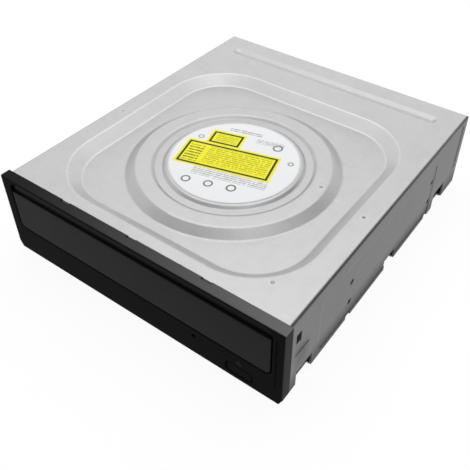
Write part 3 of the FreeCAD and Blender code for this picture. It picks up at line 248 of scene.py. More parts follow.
def painted_slope_highlight(steel, colour):
    """Outside the ring, the slopes of the large recess get a painted highlight, lighter where they
    tilt.
    """
    ring_radius, rear_end = 50.5, 60
    normal = steel.add("NewGeometry", outputs="Normal")
    upward = steel.add("SeparateXYZ", inputs={"Vector": normal}, outputs="Z")
    slope = upward.below(0.975, 0.015) * upward.above(0.5, 0.1)
    place = steel.y.below(rear_end, 1) * steel.reach(BOSS_CENTRE).above(ring_radius, 0.5)
    return steel.mix(slope * place * 0.18, colour, grey(0.62))


def press_marks(steel, colour, height):
    """Small pits, each with a raised ring round it, with painted shade in the pit and a painted
    highlight on the ring.
    """
    for x, y, dark in PRESS_MARKS:
        spot = steel.reach((x, y))
        pit = spot.below(0.75, 0.3)
        ring = spot.above(0.7, 0.2) * spot.below(1.5, 0.4)
        # Painted shade in the pit and a painted highlight on its ring
        colour = steel.mix(pit * dark, colour, grey(0.05))
        colour = steel.mix(ring * (dark * 0.15), colour, grey(0.7))
        height = height - pit * 18.0 + ring * 4.0
    return colour, height


def side_wall_wear_and_shade(steel, colour, blotch):
    """Painted shade on the bend and a dent, painted highlight on the panel border, rubbed spots,
    darker foot.
    """
    outward = abs(steel.x)
    side = outward.above(72.4, 0.25)
    # Painted shade along the bend at the top of the side walls
    bend_shade = outward.above(72.1, 0.3) * steel.z.above(40.3, 0.35)
    colour = steel.mix(bend_shade * 0.75, colour, grey(0.03))
    # A painted highlight along the pressed border of the panel
    half_length, half_height, radius = 53.5, 15.2, 4.0
    panel = rounded_edge(steel.y + 3.25, steel.z - 17.8, half_length, half_height, radius)
    border_highlight = abs(panel).below(0.3, 0.3)
    colour = steel.mix(side * border_highlight * 0.45, colour, grey(0.62))
    rubbed = steel.noise(9, 4, stretch=(1, 0.5, 2.5), rough=0.7).above(0.62, 0.08)
    colour = steel.mix(side * rubbed * 0.12, colour, grey(0.6))
    # Painted shade in the dent below the latch
    dent_shade = block(steel.y + 69.8, steel.z - 17.5, 4.0, 6.0, 2.8)
    colour = steel.mix(side * dent_shade * 0.45, colour, grey(0.06))
    # Darker towards the bottom
    foot = steel.z.below(6.0 + blotch * 3.0, 5.0)
    return steel.mix(side * foot * 0.75, colour, grey(0.03))


def moulded_plastic(name, dark, light, grain_size=0.35, roughness=0.5, specular=0.3, depth=0.012):
    """Finely grained plastic with soft blotches and light rubbed spots."""
    plastic = Finish(name, roughness=roughness, Specular_IOR_Level=specular)
    grain = plastic.cells(grain_size, "SMOOTH_F1")
    blotch = plastic.noise(18, 3)
    wear = plastic.noise(2.5, 6, rough=0.8).above(0.68, 0.05)
    colour = plastic.mix(blotch, dark, light)
    colour = plastic.mix(wear * 0.12, colour, tuple(min(1.0, c * 2.2) for c in light))
    plastic.paint(Base_Color=colour, Roughness=roughness - 0.06 + blotch * 0.1 + grain * 0.05)
    plastic.bump(grain, depth)
    return plastic


def pale_plastic(name, dark, light):
    return moulded_plastic(
        name, dark, light, grain_size=0.3, roughness=0.45, specular=0.45, depth=0.006
    )


def bezel_plastic():
    """The front frame: duller than its door, painted highlights on its flanks, a painted sheen on
    top, a sign.
    """
    width, height = 148, 42
    plastic = moulded_plastic("bezel_black", *FRONT_BLACKS, specular=0.02)
    front = plastic.y.below(BEZEL_FACE + 0.15, 0.05)
    # A painted highlight on the flanks
    flank_highlight = abs(plastic.x).above(width / 2 - 0.3, 0.1)
    # The painted sheen on top grows towards the right
    rightward = (plastic.x + width / 2) / width
    top_sheen = plastic.z.above(height - 0.2, 0.1) * rightward.power(1.6)
    colour = plastic.mix(plastic.noise(18, 3), *FRONT_BLACKS)
    colour = plastic.mix(flank_highlight * 0.8, colour, grey(0.14))
    colour = plastic.mix(top_sheen * 0.9, colour, grey(0.17))
    colour = plastic.mix(front * eject_sign(plastic), colour, grey(0.06))
    plastic.paint(Base_Color=colour)
    return plastic


def door_plastic():
    """The tray's door: satin on its face, with painted shade in the step along its top."""
    plastic = moulded_plastic("door_black", *FRONT_BLACKS, specular=0.13)
    step_shade = plastic.y.above(BEZEL_FACE + 0.55, 0.2) * plastic.z.above(34.5, 0.5)
    # Painted shade: metallic over the black base takes the step's reflections away
    plastic.paint(Metallic=step_shade * 0.8)
    return plastic


def eject_sign(finish):
    """A small triangle over a bar, printed above the button."""
    middle, level, soft = 54.0, 10.9, 0.06
    x, z = finish.x - middle, finish.z - level
    flanks = abs(x) * 1.25 + z
    triangle = flanks.below(1.0, soft) * z.above(-0.55, soft)
    bar = block(x, z + 1.15, 1.25, 0.2, soft)
    return triangle.most(bar)


# The label's print. All of it is turned by the same angle about the boss
LABEL_TURN = 15.0
INK = (0.006, 0.006, 0.006)
YELLOW = (0.93, 0.88, 0.006)
# Each yellow panel's centre, half size and groups of bars. A group of bars has its centre,
# its half size, the number of rows and how dark its ink is
PANELS = (
    ((-3.0, -15.15), (21.75, 8.25), (
        ((-16.5, -0.5), (3.6, 6.0), 6, 0.8),
        ((4.6, 0.6), (15.2, 6.4), 9, 0.5),
    )),
    ((-12.8, -2.75), (7.3, 4.4), (
        ((0.3, 0.0), (5.3, 2.7), 4, 0.5),
    )),
)
GROUND_BARS = (
    ((-2.6, 22.4), (8.2, 0.9), 1, 1.0),
    ((11.0, 17.8), (7.0, 1.6), 3, 0.6),
    ((2.5, -12.8), (17.5, 2.6), 4, 0.6),
)
# Centre, radius and how dark the ink is
GROUND_RINGS = (
    ((15.5, 15.6), 2.4, 0.85),
    ((-21.5, 12.0), 1.6, 0.5),
    ((24.8, 6.3), 1.5, 0.6),
    ((-15.0, -19.8), 2.2, 0.8),
    ((6.0, -19.0), 2.3, 0.85),
    ((-4.5, -19.6), 2.2, 0.8),
)


def label_paper():
    """White paper with two framed yellow panels, bars and rings, and nothing to read."""
    paper = Finish("label_print", roughness=0.4, Specular_IOR_Level=0.12)
    fibre = paper.noise(0.8, 4)
    colour = paper.mix(fibre, (0.87, 0.875, 0.89), (0.92, 0.925, 0.94))
    panels = [(paper.turned(centre, LABEL_TURN), half) for centre, half, _ in PANELS]
    for (x, y), (half_x, half_y) in panels:
        sheet = block(x, y, half_x + 1.2, half_y + 1.2)
        colour = paper.mix(sheet, colour, YELLOW)
        outer = block(x, y, half_x + 0.1, half_y + 0.1)
        inner = block(x, y, half_x - 0.95, half_y - 0.95)
        colour = paper.mix(outer - inner, colour, INK)
    for (axes, _), (_, _, groups) in zip(panels, PANELS):
        for group in groups:
            colour = printed_bars(paper, colour, axes, *group)
    ground = paper.turned(BOSS_CENTRE, LABEL_TURN)
    for group in GROUND_BARS:
        colour = printed_bars(paper, colour, ground, *group)
    for (x, y), radius, ink in GROUND_RINGS:
        spot = distance(ground[0] - x, ground[1] - y)
        ring = spot.below(radius, 0.08) * spot.above(radius - 0.75, 0.08)
        colour = paper.mix(ring * ink, colour, INK)
    rim_radius = 29.4
    rim = paper.reach(BOSS_CENTRE).above(rim_radius, 0.2)
    colour = paper.mix(rim * 0.35, colour, grey(0.35))
    paper.paint(Base_Color=colour, Roughness=0.3 + fibre * 0.12)
    paper.bump(fibre, 0.01)
    return paper


def printed_bars(paper, colour, axes, centre, size, count, ink):
    """Plain printed bars in rows, broken and ragged at the ends."""
    x, y = axes[0] - centre[0], axes[1] - centre[1]
    row = y / (2 * size[1] / count)
    middle = 0.5 if count % 2 == 0 else 0.0
    line = abs((row + middle).math("FRACT") - 0.5).below(0.22, 0.08)
    place = paper.add("CombineXYZ", inputs={"X": x * 1.1, "Y": row.math("FLOOR") * 7.3})
    ragged = paper.add(
        "TexNoise",
        {"noise_dimensions": "2D"},
        {"Vector": place, "Scale": 1.0, "Detail": 2.0},
    )
    printed = line * ragged.above(0.42, 0.05) * block(x, y, *size)
    return paper.mix(printed * ink, colour, INK)


def bare_metal(name, dark, light, roughness, metallic=0.9, stretch=(1, 1, 1), size=0.8):
    """Metal with fine streaks and darker stains."""
    metal = Finish(name, roughness=roughness, metallic=metallic)
    streak = metal.noise(size, 4, stretch=stretch)
    blotch = metal.noise(9, 3)
    stain = metal.noise(4, 6, rough=0.75).above(0.66, 0.05)
    colour = metal.mix(streak * 0.6 + blotch * 0.4, dark, light)
    colour = metal.mix(stain * 0.25, colour, tuple(c * 0.6 for c in dark))
    metal.paint(Base_Color=colour, Roughness=roughness - 0.08 + streak * 0.12 + stain * 0.1)
    metal.bump(streak, 0.006)
    return metal


def board_laminate():
    """Green lacquer over a weave, with raised tracks both ways and round pads."""
    board = Finish("board_green", roughness=0.38, Specular_IOR_Level=0.5)
    weave = board.x.wave(0.5) * board.y.wave(0.5)
    along = board.cells(2.2, "DISTANCE_TO_EDGE", stretch=(1, 0.3, 1)).below(0.06, 0.02)
    across = board.cells(3.4, "DISTANCE_TO_EDGE", stretch=(0.3, 1, 1)).below(0.05, 0.02)
    tracks = along.most(across)
    pads = board.cells(3.0).below(0.16, 0.03)
    colour = board.mix(board.noise(14, 3), (0.008, 0.09, 0.035), (0.014, 0.14, 0.06))
    colour = board.mix(tracks * 0.6, colour, (0.03, 0.24, 0.11))
    colour = board.mix(pads * 0.8, colour, (0.55, 0.55, 0.5))
    board.paint(Base_Color=colour, Roughness=0.3 + weave * 0.06 + pads * 0.05)
    board.bump(tracks * 0.7 + pads + weave * 0.1, 0.03)
    return board


def lens_glass():
    """Clear glass with a bluish coating."""
    glass = Finish(
        "lens_coated", roughness=0.05, Transmission_Weight=0.55, IOR=1.5, Coat_Weight=0.6
    )
    colour = glass.mix(glass.noise(3, 2), (0.10, 0.12, 0.35), (0.25, 0.20, 0.50))
    glass.paint(Base_Color=colour, Roughness=0.04 + glass.noise(0.8, 3) * 0.05)
    return glass


def soft_rubber(name, tone):
    """Dull rubber with a little dust on it."""
    rubber = Finish(name, roughness=0.75, Specular_IOR_Level=0.25)
    dust = rubber.noise(1.2, 5, rough=0.7)
    colour = rubber.mix(dust, tuple(c * 0.7 for c in tone), tuple(c * 1.5 for c in tone))
    rubber.paint(Base_Color=colour, Roughness=0.65 + dust * 0.2)
    rubber.bump(dust, 0.02)
    return rubber


FINISHES = {
    "cover_steel": cover_steel("sheet_steel"),
    "cover_marked": cover_steel("sheet_steel_top", top_cover=True),
    "bezel_plastic": bezel_plastic(),
    "door_plastic": door_plastic(),
    "chassis_plastic": moulded_plastic(
        "chassis_black", (0.010, 0.010, 0.011), (0.02, 0.02, 0.021)
    ),
    "tray_plastic": moulded_plastic(
        "tray_black", (0.012, 0.012, 0.013), (0.022, 0.022, 0.023), grain_size=0.5
    ),
    "label_paper": label_paper(),
    "screw_steel": bare_metal("screw_zinc", (0.45, 0.45, 0.46), grey(0.62), 0.32),
    "gear_plastic": pale_plastic("gear_white", (0.68, 0.67, 0.62), (0.8, 0.79, 0.75)),
    "slider_plastic": pale_plastic("slider_white", (0.66, 0.66, 0.62), (0.78, 0.78, 0.75)),
    "lift_plastic": moulded_plastic(
        "lift_black", (0.014, 0.014, 0.016), (0.026, 0.026, 0.028)
    ),
    "belt_rubber": soft_rubber("belt_black", grey(0.018)),
    "damper_rubber": soft_rubber("damper_grey", (0.03, 0.03, 0.035)),
    "motor_steel": bare_metal(
        "motor_can", grey(0.5), (0.66, 0.66, 0.65), 0.3, 0.95, stretch=(1, 1, 6)
    ),
    "pulley_brass": bare_metal(
        "brass_turned", (0.62, 0.42, 0.13), (0.8, 0.6, 0.25), 0.28, 1.0, stretch=(1, 1, 8)
    ),
    "plate_steel": bare_metal(
        "stamped_plate", (0.45, 0.46, 0.47), (0.6, 0.61, 0.62), 0.36, 0.85,
        stretch=(1, 0.15, 1)
    ),
    "rod_steel": bare_metal(
        "ground_steel", (0.62, 0.62, 0.63), (0.76, 0.76, 0.77), 0.16, 1.0, stretch=(6, 1, 6)
    ),
    "pickup_metal": bare_metal("cast_alloy", (0.36, 0.37, 0.39), (0.5, 0.51, 0.53), 0.48, 0.8),
    "lens_glass": lens_glass(),
    "board_laminate": board_laminate(),
    "chip_epoxy": moulded_plastic(
        "chip_black", (0.014, 0.014, 0.015), (0.026, 0.026, 0.027),
        grain_size=0.2, roughness=0.55, specular=0.4, depth=0.008
    ),
    "capacitor_can": bare_metal(
        "capacitor_alloy", (0.6, 0.6, 0.62), (0.75, 0.75, 0.77), 0.3, 0.95, stretch=(1, 1, 5)
    ),
    "socket_plastic": pale_plastic("socket_cream", (0.62, 0.58, 0.47), (0.74, 0.7, 0.6)),
    "ribbon_film": pale_plastic("ribbon_white", (0.6, 0.62, 0.66), (0.72, 0.74, 0.77)),
    "sata_plastic": moulded_plastic(
        "sata_black", grey(0.01), grey(0.02), grain_size=0.3, roughness=0.45, specular=0.4
    ),
    "contact_gold": bare_metal(
        "contact_gold", (0.72, 0.48, 0.14), (0.86, 0.62, 0.24), 0.25, 1.0,
        stretch=(1, 0.2, 1), size=0.5
    ),
    "tinned_leg": bare_metal("tinned_leg", (0.55, 0.55, 0.56), grey(0.7), 0.3, 0.95),
    "clamper_plastic": moulded_plastic(
        "clamper_dark", (0.03, 0.03, 0.031), (0.05, 0.05, 0.052), grain_size=0.4
    ),
}


def dress(piece, finish):
    piece.data.materials.clear()
    piece.data.materials.append(FINISHES[finish].material)


for entry in frame["record"]["subparts"]:
    dress(frame["nodes"][entry["node"]], entry["material_slot"])
dress(frame["nodes"]["top_cover"], "cover_marked")
dress(frame["nodes"]["tray_door"], "door_plastic")


# Modelling by hand. Every measure is in millimetres

Y, Z = 1, 2


def facing(axis, way):
    """A test for faces that look up an axis, where way is 1, or down it, where way is -1."""
    return lambda centre, normal: normal[axis] * way > 0.9


def choose(piece, chosen):
    """Opens a piece for editing, with the faces selected that a test on centre and normal picks."""
    bpy.context.view_layer.objects.active = piece
    bpy.ops.object.mode_set(mode="EDIT")
    bpy.ops.mesh.select_mode(type="FACE")
    bpy.ops.mesh.select_all(action="DESELECT")
    bpy.ops.object.mode_set(mode="OBJECT")
    for face in piece.data.polygons:
        face.select = chosen(face.center / MM, face.normal)
    bpy.ops.object.mode_set(mode="EDIT")


def extrude(x, y, z):
    bpy.ops.mesh.extrude_region_move(TRANSFORM_OT_translate={"value": (x * MM, y * MM, z * MM)})


def inset(width):
    bpy.ops.mesh.inset(thickness=width * MM)


def scale_chosen(x, y, z, centre=(0, 0, 0)):
    centre = [place * MM for place in centre]
    bpy.ops.transform.resize(value=(x, y, z), center_override=centre)


def leave_edit():
    """Closes the editing, with double points merged and all faces turned outwards."""
    bpy.ops.mesh.select_all(action="SELECT")
    bpy.ops.mesh.remove_doubles(threshold=1e-7)
    bpy.ops.mesh.normals_make_consistent(inside=False)
    bpy.ops.object.mode_set(mode="OBJECT")


def shift(piece, x, y, z):
    piece.data.transform(Matrix.Translation((x * MM, y * MM, z * MM)))


def turn_flat(piece, degrees):
    piece.data.transform(Matrix.Rotation(math.radians(degrees), 4, "Z"))


def start_block(name, centre, size):
    bpy.ops.mesh.primitive_cube_add(size=1)
    piece = bpy.context.object
    piece.name = name
    piece.data.transform(Matrix.Diagonal((*(length * MM for length in size), 1)))
    shift(piece, *centre)
    return piece


def start_rod(name, centre, radius, length, vertices=32, turn=None):
    """A round bar along z, or turned so that it lies along another axis."""
    bpy.ops.mesh.primitive_cylinder_add(vertices=vertices, radius=radius * MM, depth=length * MM)
    piece = bpy.context.object
    piece.name = name
    if turn is not None:
        piece.data.transform(turn)
    shift(piece, *centre)
    return piece


def apply(piece, kind, **settings):
    bpy.context.view_layer.objects.active = piece
    modifier = piece.modifiers.new("shape", kind)
    for name, value in settings.items():
        setattr(modifier, name, value)
    bpy.ops.object.modifier_apply(modifier="shape")


def cut(piece, cutter):
    apply(piece, "BOOLEAN", operation="DIFFERENCE", solver="EXACT", object=cutter)
    bpy.data.objects.remove(cutter)


def cut_cross(piece, place, size, taper, way, turn=0):
    """Sinks two crossed bars with tapered bottoms: from above where way is 1, below where -1."""
    for quarter in (0, 90):
        cutter = start_block("cutter", (0, 0, 0), size)
        choose(cutter, facing(Z, -way))
        scale_chosen(*taper, 1)
        leave_edit()
        turn_flat(cutter, quarter + turn)
        shift(cutter, *place)
        cut(piece, cutter)


def copied(piece, name, x=0.0, y=0.0, z=0.0):
    twin = piece.copy()
    twin.data = piece.data.copy()
    twin.name = name
    bpy.context.scene.collection.objects.link(twin)
    shift(twin, x, y, z)
    return twin


def select_only(*pieces):
    """Selects the pieces and nothing else, and makes the first one active."""
    bpy.ops.object.select_all(action="DESELECT")
    for piece in pieces:
        piece.select_set(True)
    bpy.context.view_layer.objects.active = pieces[0]


def joined(pieces, name):
    select_only(*pieces)
    bpy.ops.object.join()
    pieces[0].name = name
    return pieces[0]


def finished(piece, body, finish, replaced=()):
    """Smooths a piece's round faces, gives it its material and its body, and hides the nodes
    that it stands for."""
    select_only(piece)
    bpy.ops.object.shade_smooth_by_angle(angle=math.radians(30))
    dress(piece, finish)
    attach(piece, body)
    if replaced:
        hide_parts(*replaced)
    return piece


# The lift with all that it carries lies tilted at rest, turned about its rear pins by so much
# that the spindle, which stands in front of them, is lower than when it plays
SPINDLE_DROP, SPINDLE_REACH = 6.6, 80.0
LIFT_PIVOT = Vector((0, 66.25 * MM, 12.7 * MM))
LIFT_TILT = math.asin(SPINDLE_DROP / SPINDLE_REACH)
LOWERED = (
    Matrix.Translation(LIFT_PIVOT)
    @ Matrix.Rotation(LIFT_TILT, 4, "X")
    @ Matrix.Translation(-LIFT_PIVOT)
)


# Screws

def cross_screw(name, place, outward, head, shank):
    """A pan head with a cross recess; outward is 1 where the head faces up and -1 where down."""
    x, y, seat = place
    (head_radius, head_height), (shank_radius, shank_length) = head, shank
    tip = 0.4
    screw = start_rod(name, (x, y, seat + outward * head_height / 2), head_radius, head_height)
    choose(screw, facing(Z, outward))
    bpy.ops.mesh.bevel(offset=head_height * 0.32 * MM, segments=4)
    choose(screw, facing(Z, -outward))
    inset(head_radius - shank_radius)
    extrude(0, 0, -outward * (shank_length - tip))
    extrude(0, 0, -outward * tip)
    scale_chosen(0.7, 0.7, 1, (x, y, 0))
    leave_edit()
    top = (x, y, seat + outward * head_height)
    bar = (head_radius * 1.04, head_radius * 0.2, head_height * 1.1)
    cut_cross(screw, top, bar, (0.55, 0.7), outward, turn=20)
    return screw


def screw_set(name, node, places, outward, head, shank, body="root"):
    """One screw modelled at the first place and copied to the others, for a node of screws."""
    first = cross_screw(name, places[0], outward, head, shank)
    screws = [first]
    for place in places[1:]:
        way = (end - start for start, end in zip(places[0], place))
        screws.append(copied(first, name, *way))
    return finished(joined(screws, name), body, "screw_steel", (node,))


def four(x, front, rear, level):
    """Places at both sides, at two distances behind the bezel's face."""
    return [(side * x, BEZEL_FACE + y, level) for side in (1, -1) for y in (front, rear)]


screw_set(
    "cross_screws_cover", "cover_screws", four(62, 14, 148, 1.6),
    outward=-1, head=(3.0, 1.3), shank=(1.45, 6.0)
)
screw_set(
    "cross_screws_board", "board_screws", four(52, 104, 158, 3.0),
    outward=-1, head=(2.3, 1.3), shank=(1.05, 3.2)
)
screw_set(
    "cross_screws_bridge", "bridge_screws", four(65, 50, 90, 33.0),
    outward=1, head=(2.4, 1.2), shank=(1.05, 3.1)
)
damper_screws = screw_set(
    "cross_screws_damper", "damper_screws", four(42, 56, 143, 17.2),
    outward=1, head=(3.2, 1.1), shank=(1.2, 4.6), body="lift"
)
damper_screws.data.transform(LOWERED)


# Lead screw with a real thread

def threaded_screw():
    """A turned core with thinner ends, and a ridge wound round it."""
    x, z, radius = 33.5, 17.4, 1.08
    start, end = BEZEL_FACE + 85.0, BEZEL_FACE + 143.4
    tip = 0.3
    along_y = Matrix.Rotation(math.radians(-90), 4, "X")
    core = start_rod("lead_core", (x, (start + end) / 2, z), radius, end - start, 24, along_y)
    for way, length in ((-1, 5.0), (1, 1.8)):
        choose(core, facing(Y, way))
        inset(0.18)
        extrude(0, way * (length - tip), 0)
        extrude(0, way * tip, 0)
        scale_chosen(0.75, 1, 0.75, (x, 0, z))
        leave_edit()
    ridge = thread_profile()
    pitch, plain_ends, steps = 3.0, 1.4, 20
    turns = int((end - start - plain_ends) / pitch)
    apply(
        ridge, "SCREW", axis="Y", screw_offset=pitch * MM, angle=2 * math.pi,
        iterations=turns, steps=steps, render_steps=steps, use_merge_vertices=False
    )
    shift(ridge, x, start + 0.2, z)
    choose(ridge, lambda centre, normal: True)
    bpy.ops.mesh.fill_holes(sides=0)
    leave_edit()
    screw = joined([core, ridge], "lead_screw_thread")
    screw.data.transform(LOWERED)
    return finished(screw, "screw", "rod_steel", ("lead_screw",))


def thread_profile():
    """The ridge's outline in the plane of the axis: wide at its foot, narrow at its crest."""
    height, foot, out, along = 0.42, 1.1, 1.19, 0.6
    bpy.ops.mesh.primitive_plane_add(size=1)
    ridge = bpy.context.object
    ridge.name = "lead_thread"
    ridge.data.transform(Matrix.Diagonal((height * MM, foot * MM, 1, 1)))
    shift(ridge, out, along, 0)
    bpy.ops.object.mode_set(mode="EDIT")
    bpy.ops.mesh.select_mode(type="VERT")
    bpy.ops.mesh.select_all(action="DESELECT")
    bpy.ops.object.mode_set(mode="OBJECT")
    for vertex in ridge.data.vertices:
        vertex.select = vertex.co.x > out * MM
    bpy.ops.object.mode_set(mode="EDIT")
    scale_chosen(1, 0.35, 1, (0, along, 0))
    bpy.ops.mesh.select_all(action="SELECT")
    bpy.ops.mesh.delete(type="ONLY_FACE")
    bpy.ops.object.mode_set(mode="OBJECT")
    return ridge


threaded_screw()


# Contacts of the power and data connector

def sata_contacts():
    """Flat contacts, bent down at their rear ends: 15 for power and 7 for data."""
    rear, level, pitch = BEZEL_FACE + 166.5, 8.76, 1.27
    contact = start_block("contact", (0, rear - 2.6, level), (0.8, 5.0, 0.1))
    choose(contact, facing(Y, 1))
    extrude(0, 0.18, -0.12)
    extrude(0, 0.02, -0.5)
    choose(contact, lambda centre, normal: facing(Z, 1)(centre, normal) and centre.y < rear - 1)
    inset(0.12)
    bpy.ops.transform.translate(value=(0, 0, 0.04 * MM))
    leave_edit()
    places = []
    for middle, count in ((18.6, 15), (39.7, 7)):
        places += [middle + (i - count // 2) * pitch for i in range(count)]
    for number, place in enumerate(places, start=1):
        piece = copied(contact, f"sata_contact_{number:02d}", place)
        finished(piece, "root", "contact_gold")
    bpy.data.objects.remove(contact)


sata_contacts()


# Capacitor cans, chip bodies and legs on the main board

def capacitor_can(name, x, y, height):
    """A can with a crimp above its foot, a rounded shoulder and a sunk, scored top."""
    radius, foot, crimp, shoulder, rim, sunk = 2.0, 0.7, 0.25, 0.3, 0.12, 0.1
    waist = 0.86

    def top(centre, normal):
        return facing(Z, 1)(centre, normal) and math.dist(centre.xy, (x, y)) < 0.1

    can = start_rod(name, (x, y, BOARD_TOP + foot / 2), radius, foot, 36)
    straight = height - foot - 2 * crimp - shoulder
    for rise, width in ((crimp, waist), (crimp, 1 / waist), (straight, 1.0), (shoulder, 0.9)):
        choose(can, top)
        extrude(0, 0, rise)
        scale_chosen(width, width, 1, (x, y, 0))
        leave_edit()
    choose(can, top)
    inset(rim)
    extrude(0, 0, -sunk)
    leave_edit()
    cut_cross(can, (x, y, BOARD_TOP + height - sunk), (2.2, 0.16, 0.16), (1, 0.4), 1)
    return can


tall_can = capacitor_can("capacitor_can_1", -44.0, 75.75, 6.0)
short_can = capacitor_can("capacitor_can_2", -52.0, 50.25, 5.4)
cans = [
    tall_can,
    copied(tall_can, "capacitor_can_3", x=8.0),
    short_can,
    copied(short_can, "capacitor_can_4", y=-18.0),
]
finished(
    joined(cans, "capacitor_cans"), "root", "capacitor_can",
    ("board_capacitors",)
)

# Each chip's centre x and y, half sizes x and y, height, and the pitch of its legs
CHIPS = (
    (-18, 34.25, 10, 10, 1.2, 0.8),
    (10, 38.25, 7, 7, 1.0, 0.8),
    (34, 28.25, 5.5, 9, 1.1, 1.27),
    (-40, 40.25, 4, 6, 1.0, 1.27),
)


def chip_body(name, x, y, half_x, half_y, height):
    """A chip with drafted sides above its parting line and a round mark sunk beside a leg."""
    edge = 0.12
    size = (half_x * 2, half_y * 2, height / 2)
    chip = start_block(name, (x, y, BOARD_TOP + height / 4), size)
    choose(chip, facing(Z, 1))
    for rise, draft in ((height / 2 - edge, 0.2), (edge, 0.1)):
        extrude(0, 0, rise)
        scale_chosen(1 - draft / half_x, 1 - draft / half_y, 1, (x, y, 0))
    leave_edit()
    mark = min(half_x, half_y) * 0.11
    margin = 0.6 + mark * 2
    mark_x, mark_y = x - half_x + margin, y + half_y - margin
    cutter = start_rod("cutter", (mark_x, mark_y, BOARD_TOP + height), mark, 0.2, 24)
    choose(cutter, facing(Z, -1))
    scale_chosen(0.8, 0.8, 1, (mark_x, mark_y, 0))
    leave_edit()
    cut(chip, cutter)
    return chip


def chip_legs():
    """Bent legs, on all four sides of the chips of fine pitch and on two sides of the others."""
    leg = start_block("leg", (0, 0, BOARD_TOP + 0.55), (0.32, 0.3, 0.14))
    choose(leg, facing(Y, 1))
    for out, drop in ((0.22, 0.1), (0.12, 0.33), (0.35, 0.04)):
        extrude(0, out, -drop)
    leave_edit()
    for number, (x, y, half_x, half_y, _, pitch) in enumerate(CHIPS, start=1):
        sides = [(90, half_x, half_y), (270, half_x, half_y)]
        if pitch < 1:
            sides = [(0, half_y, half_x), (180, half_y, half_x), *sides]
        legs = []
        for turn, reach, span in sides:
            count = int((span * 2 - 1.2) / pitch)
            for i in range(count):
                twin = copied(leg, "leg", (i - (count - 1) / 2) * pitch, reach + 0.1)
                turn_flat(twin, turn)
                shift(twin, x, y, 0)
                legs.append(twin)
        piece = joined(legs, f"chip_legs_{number}")
        finished(piece, "root", "tinned_leg")
    bpy.data.objects.remove(leg)


chips = [chip_body(f"chip_{number}", *chip[:5]) for number, chip in enumerate(CHIPS, start=1)]
finished(joined(chips, "chip_bodies"), "root", "chip_epoxy", ("board_chips",))
chip_legs()


# Room and light

def bare_material(name):
    """A material without any nodes yet."""
    material = bpy.data.materials.new(name)
    material.use_nodes = True
    material.node_tree.nodes.clear()
    return material


def add_node(tree, kind, **values):
    node = tree.nodes.new("ShaderNode" + kind)
    for name, value in values.items():
        node.inputs[name].default_value = value
    return node


def seen_ray(tree):
    """1 for rays from the camera, off a shiny face or through glass, 0 for those of soft light."""
    path = add_node(tree, "LightPath")
    seen = path.outputs["Is Camera Ray"]
    for kind in ("Is Glossy Ray", "Is Transmission Ray"):
        most = add_node(tree, "Math")
        most.operation = "MAXIMUM"
        tree.links.new(seen, most.inputs[0])
        tree.links.new(path.outputs[kind], most.inputs[1])
        seen = most.outputs[0]
    return seen


def stage_floor():
    """White where it is seen, dim where it only throws light on the drive, and just under it."""
    bpy.ops.mesh.primitive_plane_add(size=12, location=(0, 0, -0.0004))
    floor = bpy.context.object
    floor.name = "floor"
    material = bare_material("floor_white")
    tree = material.node_tree
    pale = add_node(tree, "BsdfDiffuse", Color=(*grey(0.86), 1))
    dim = add_node(tree, "BsdfDiffuse", Color=(*grey(0.22), 1))
    glow = add_node(tree, "Emission", Color=(*grey(1), 1), Strength=1.03)
    shown = add_node(tree, "MixShader", Fac=0.9)
    whole = add_node(tree, "MixShader")
    output = add_node(tree, "OutputMaterial")
    for start, end in (
        (pale.outputs[0], shown.inputs[1]),
        (glow.outputs[0], shown.inputs[2]),
        (seen_ray(tree), whole.inputs[0]),
        (dim.outputs[0], whole.inputs[1]),
        (shown.outputs[0], whole.inputs[2]),
        (whole.outputs[0], output.inputs["Surface"]),
    ):
        tree.links.new(start, end)
    floor.data.materials.append(material)


def white_world(ambient):
    """A white room that throws only a little light, the ambient share of what is seen."""
    world = bpy.data.worlds.new("studio")
    bpy.context.scene.world = world
    world.use_nodes = True
    tree = world.node_tree
    background = tree.nodes["Background"]
    background.inputs["Color"].default_value = (*grey(1), 1)
    strength = add_node(tree, "MapRange", **{"To Min": ambient, "To Max": 1.0})
    tree.links.new(seen_ray(tree), strength.inputs["Value"])
    tree.links.new(strength.outputs[0], background.inputs["Strength"])


def softbox(name, place, target, size, power):
    light = bpy.data.lights.new(name, "AREA")
    light.shape = "RECTANGLE"
    light.size, light.size_y = size
    light.energy = power
    holder = bpy.data.objects.new(name, light)
    bpy.context.scene.collection.objects.link(holder)
    holder.location = place
    aim = Vector(target) - Vector(place)
    holder.rotation_euler = aim.to_track_quat("-Z", "Y").to_euler()


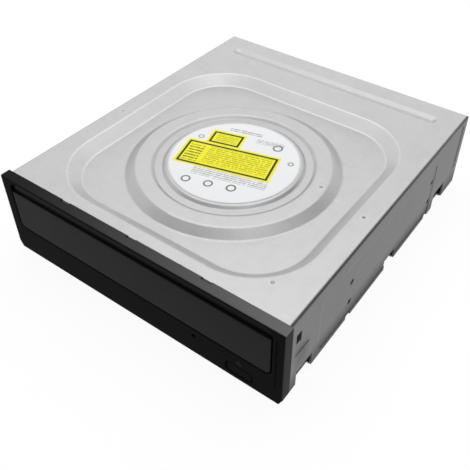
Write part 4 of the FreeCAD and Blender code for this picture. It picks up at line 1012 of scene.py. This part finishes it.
def glow_card(name, place, turn, size, tone):
    """A card seen only in reflections, darker or brighter than the white room."""
    bpy.ops.mesh.primitive_plane_add(size=1, location=place, rotation=turn)
    card = bpy.context.object
    card.name = name
    card.scale = (*size, 1)
    card.visible_camera = False
    card.visible_diffuse = False
    card.visible_shadow = False
    card.visible_transmission = False
    material = bare_material(name)
    tree = material.node_tree
    glow = add_node(tree, "Emission", Color=(*grey(tone), 1))
    output = add_node(tree, "OutputMaterial")
    tree.links.new(glow.outputs[0], output.inputs["Surface"])
    card.data.materials.append(material)


def photo_camera():
    """The photo's viewpoint: where the camera stood, how it was turned and its field of view."""
    lens = bpy.data.cameras.new("camera")
    lens.sensor_width = 36.0
    lens.lens = 49.83
    lens.shift_x = -0.0517
    lens.shift_y = -0.0836
    lens.clip_start = 0.01
    holder = bpy.data.objects.new("camera", lens)
    bpy.context.scene.collection.objects.link(holder)
    right = (0.81805, 0.57493, 0.01557)
    up = (-0.38003, 0.52002, 0.76495)
    back = (0.43170, -0.63169, 0.64390)
    eye = (0.142518, -0.201693, 0.218027)
    holder.matrix_world = Matrix([*zip(right, up, back, eye), (0, 0, 0, 1)])
    bpy.context.scene.camera = holder


UPRIGHT = math.radians(90)
# Each card's place, turn, size and tone
CARDS = {
    "card_front_low": ((0, -1.0, 0.15), (UPRIGHT, 0, 0), (3.0, 0.35), 1.2),
    "card_front": ((0, -1.0, 0.77), (UPRIGHT, 0, 0), (3.0, 0.88), 0.02),
    "card_right": ((0.95, 0.2, 0.5), (0, UPRIGHT, 0), (1.0, 3.0), 0.05),
    "card_left": ((-1.0, 0.3, 0.47), (0, UPRIGHT, 0), (0.95, 2.4), 2.0),
    "card_rear": ((0, 1.3, 0.47), (UPRIGHT, 0, 0), (2.0, 0.95), 2.0),
    "card_overhead": ((-0.1, 0.15, 0.93), (0, 0, 0), (0.9, 0.85), 3.4),
    "card_floor": ((0, 0, -0.0003), (0, 0, 0), (1.4, 1.4), 0.66),
}

stage_floor()
white_world(ambient=0.18)
softbox("overhead", (-0.12, 0.33, 0.95), (-0.12, 0.33, 0), (1.5, 1.5), power=12.4)
for name, card in CARDS.items():
    glow_card(name, *card)
photo_camera()
bpy.context.scene.view_settings.view_transform = "Standard"
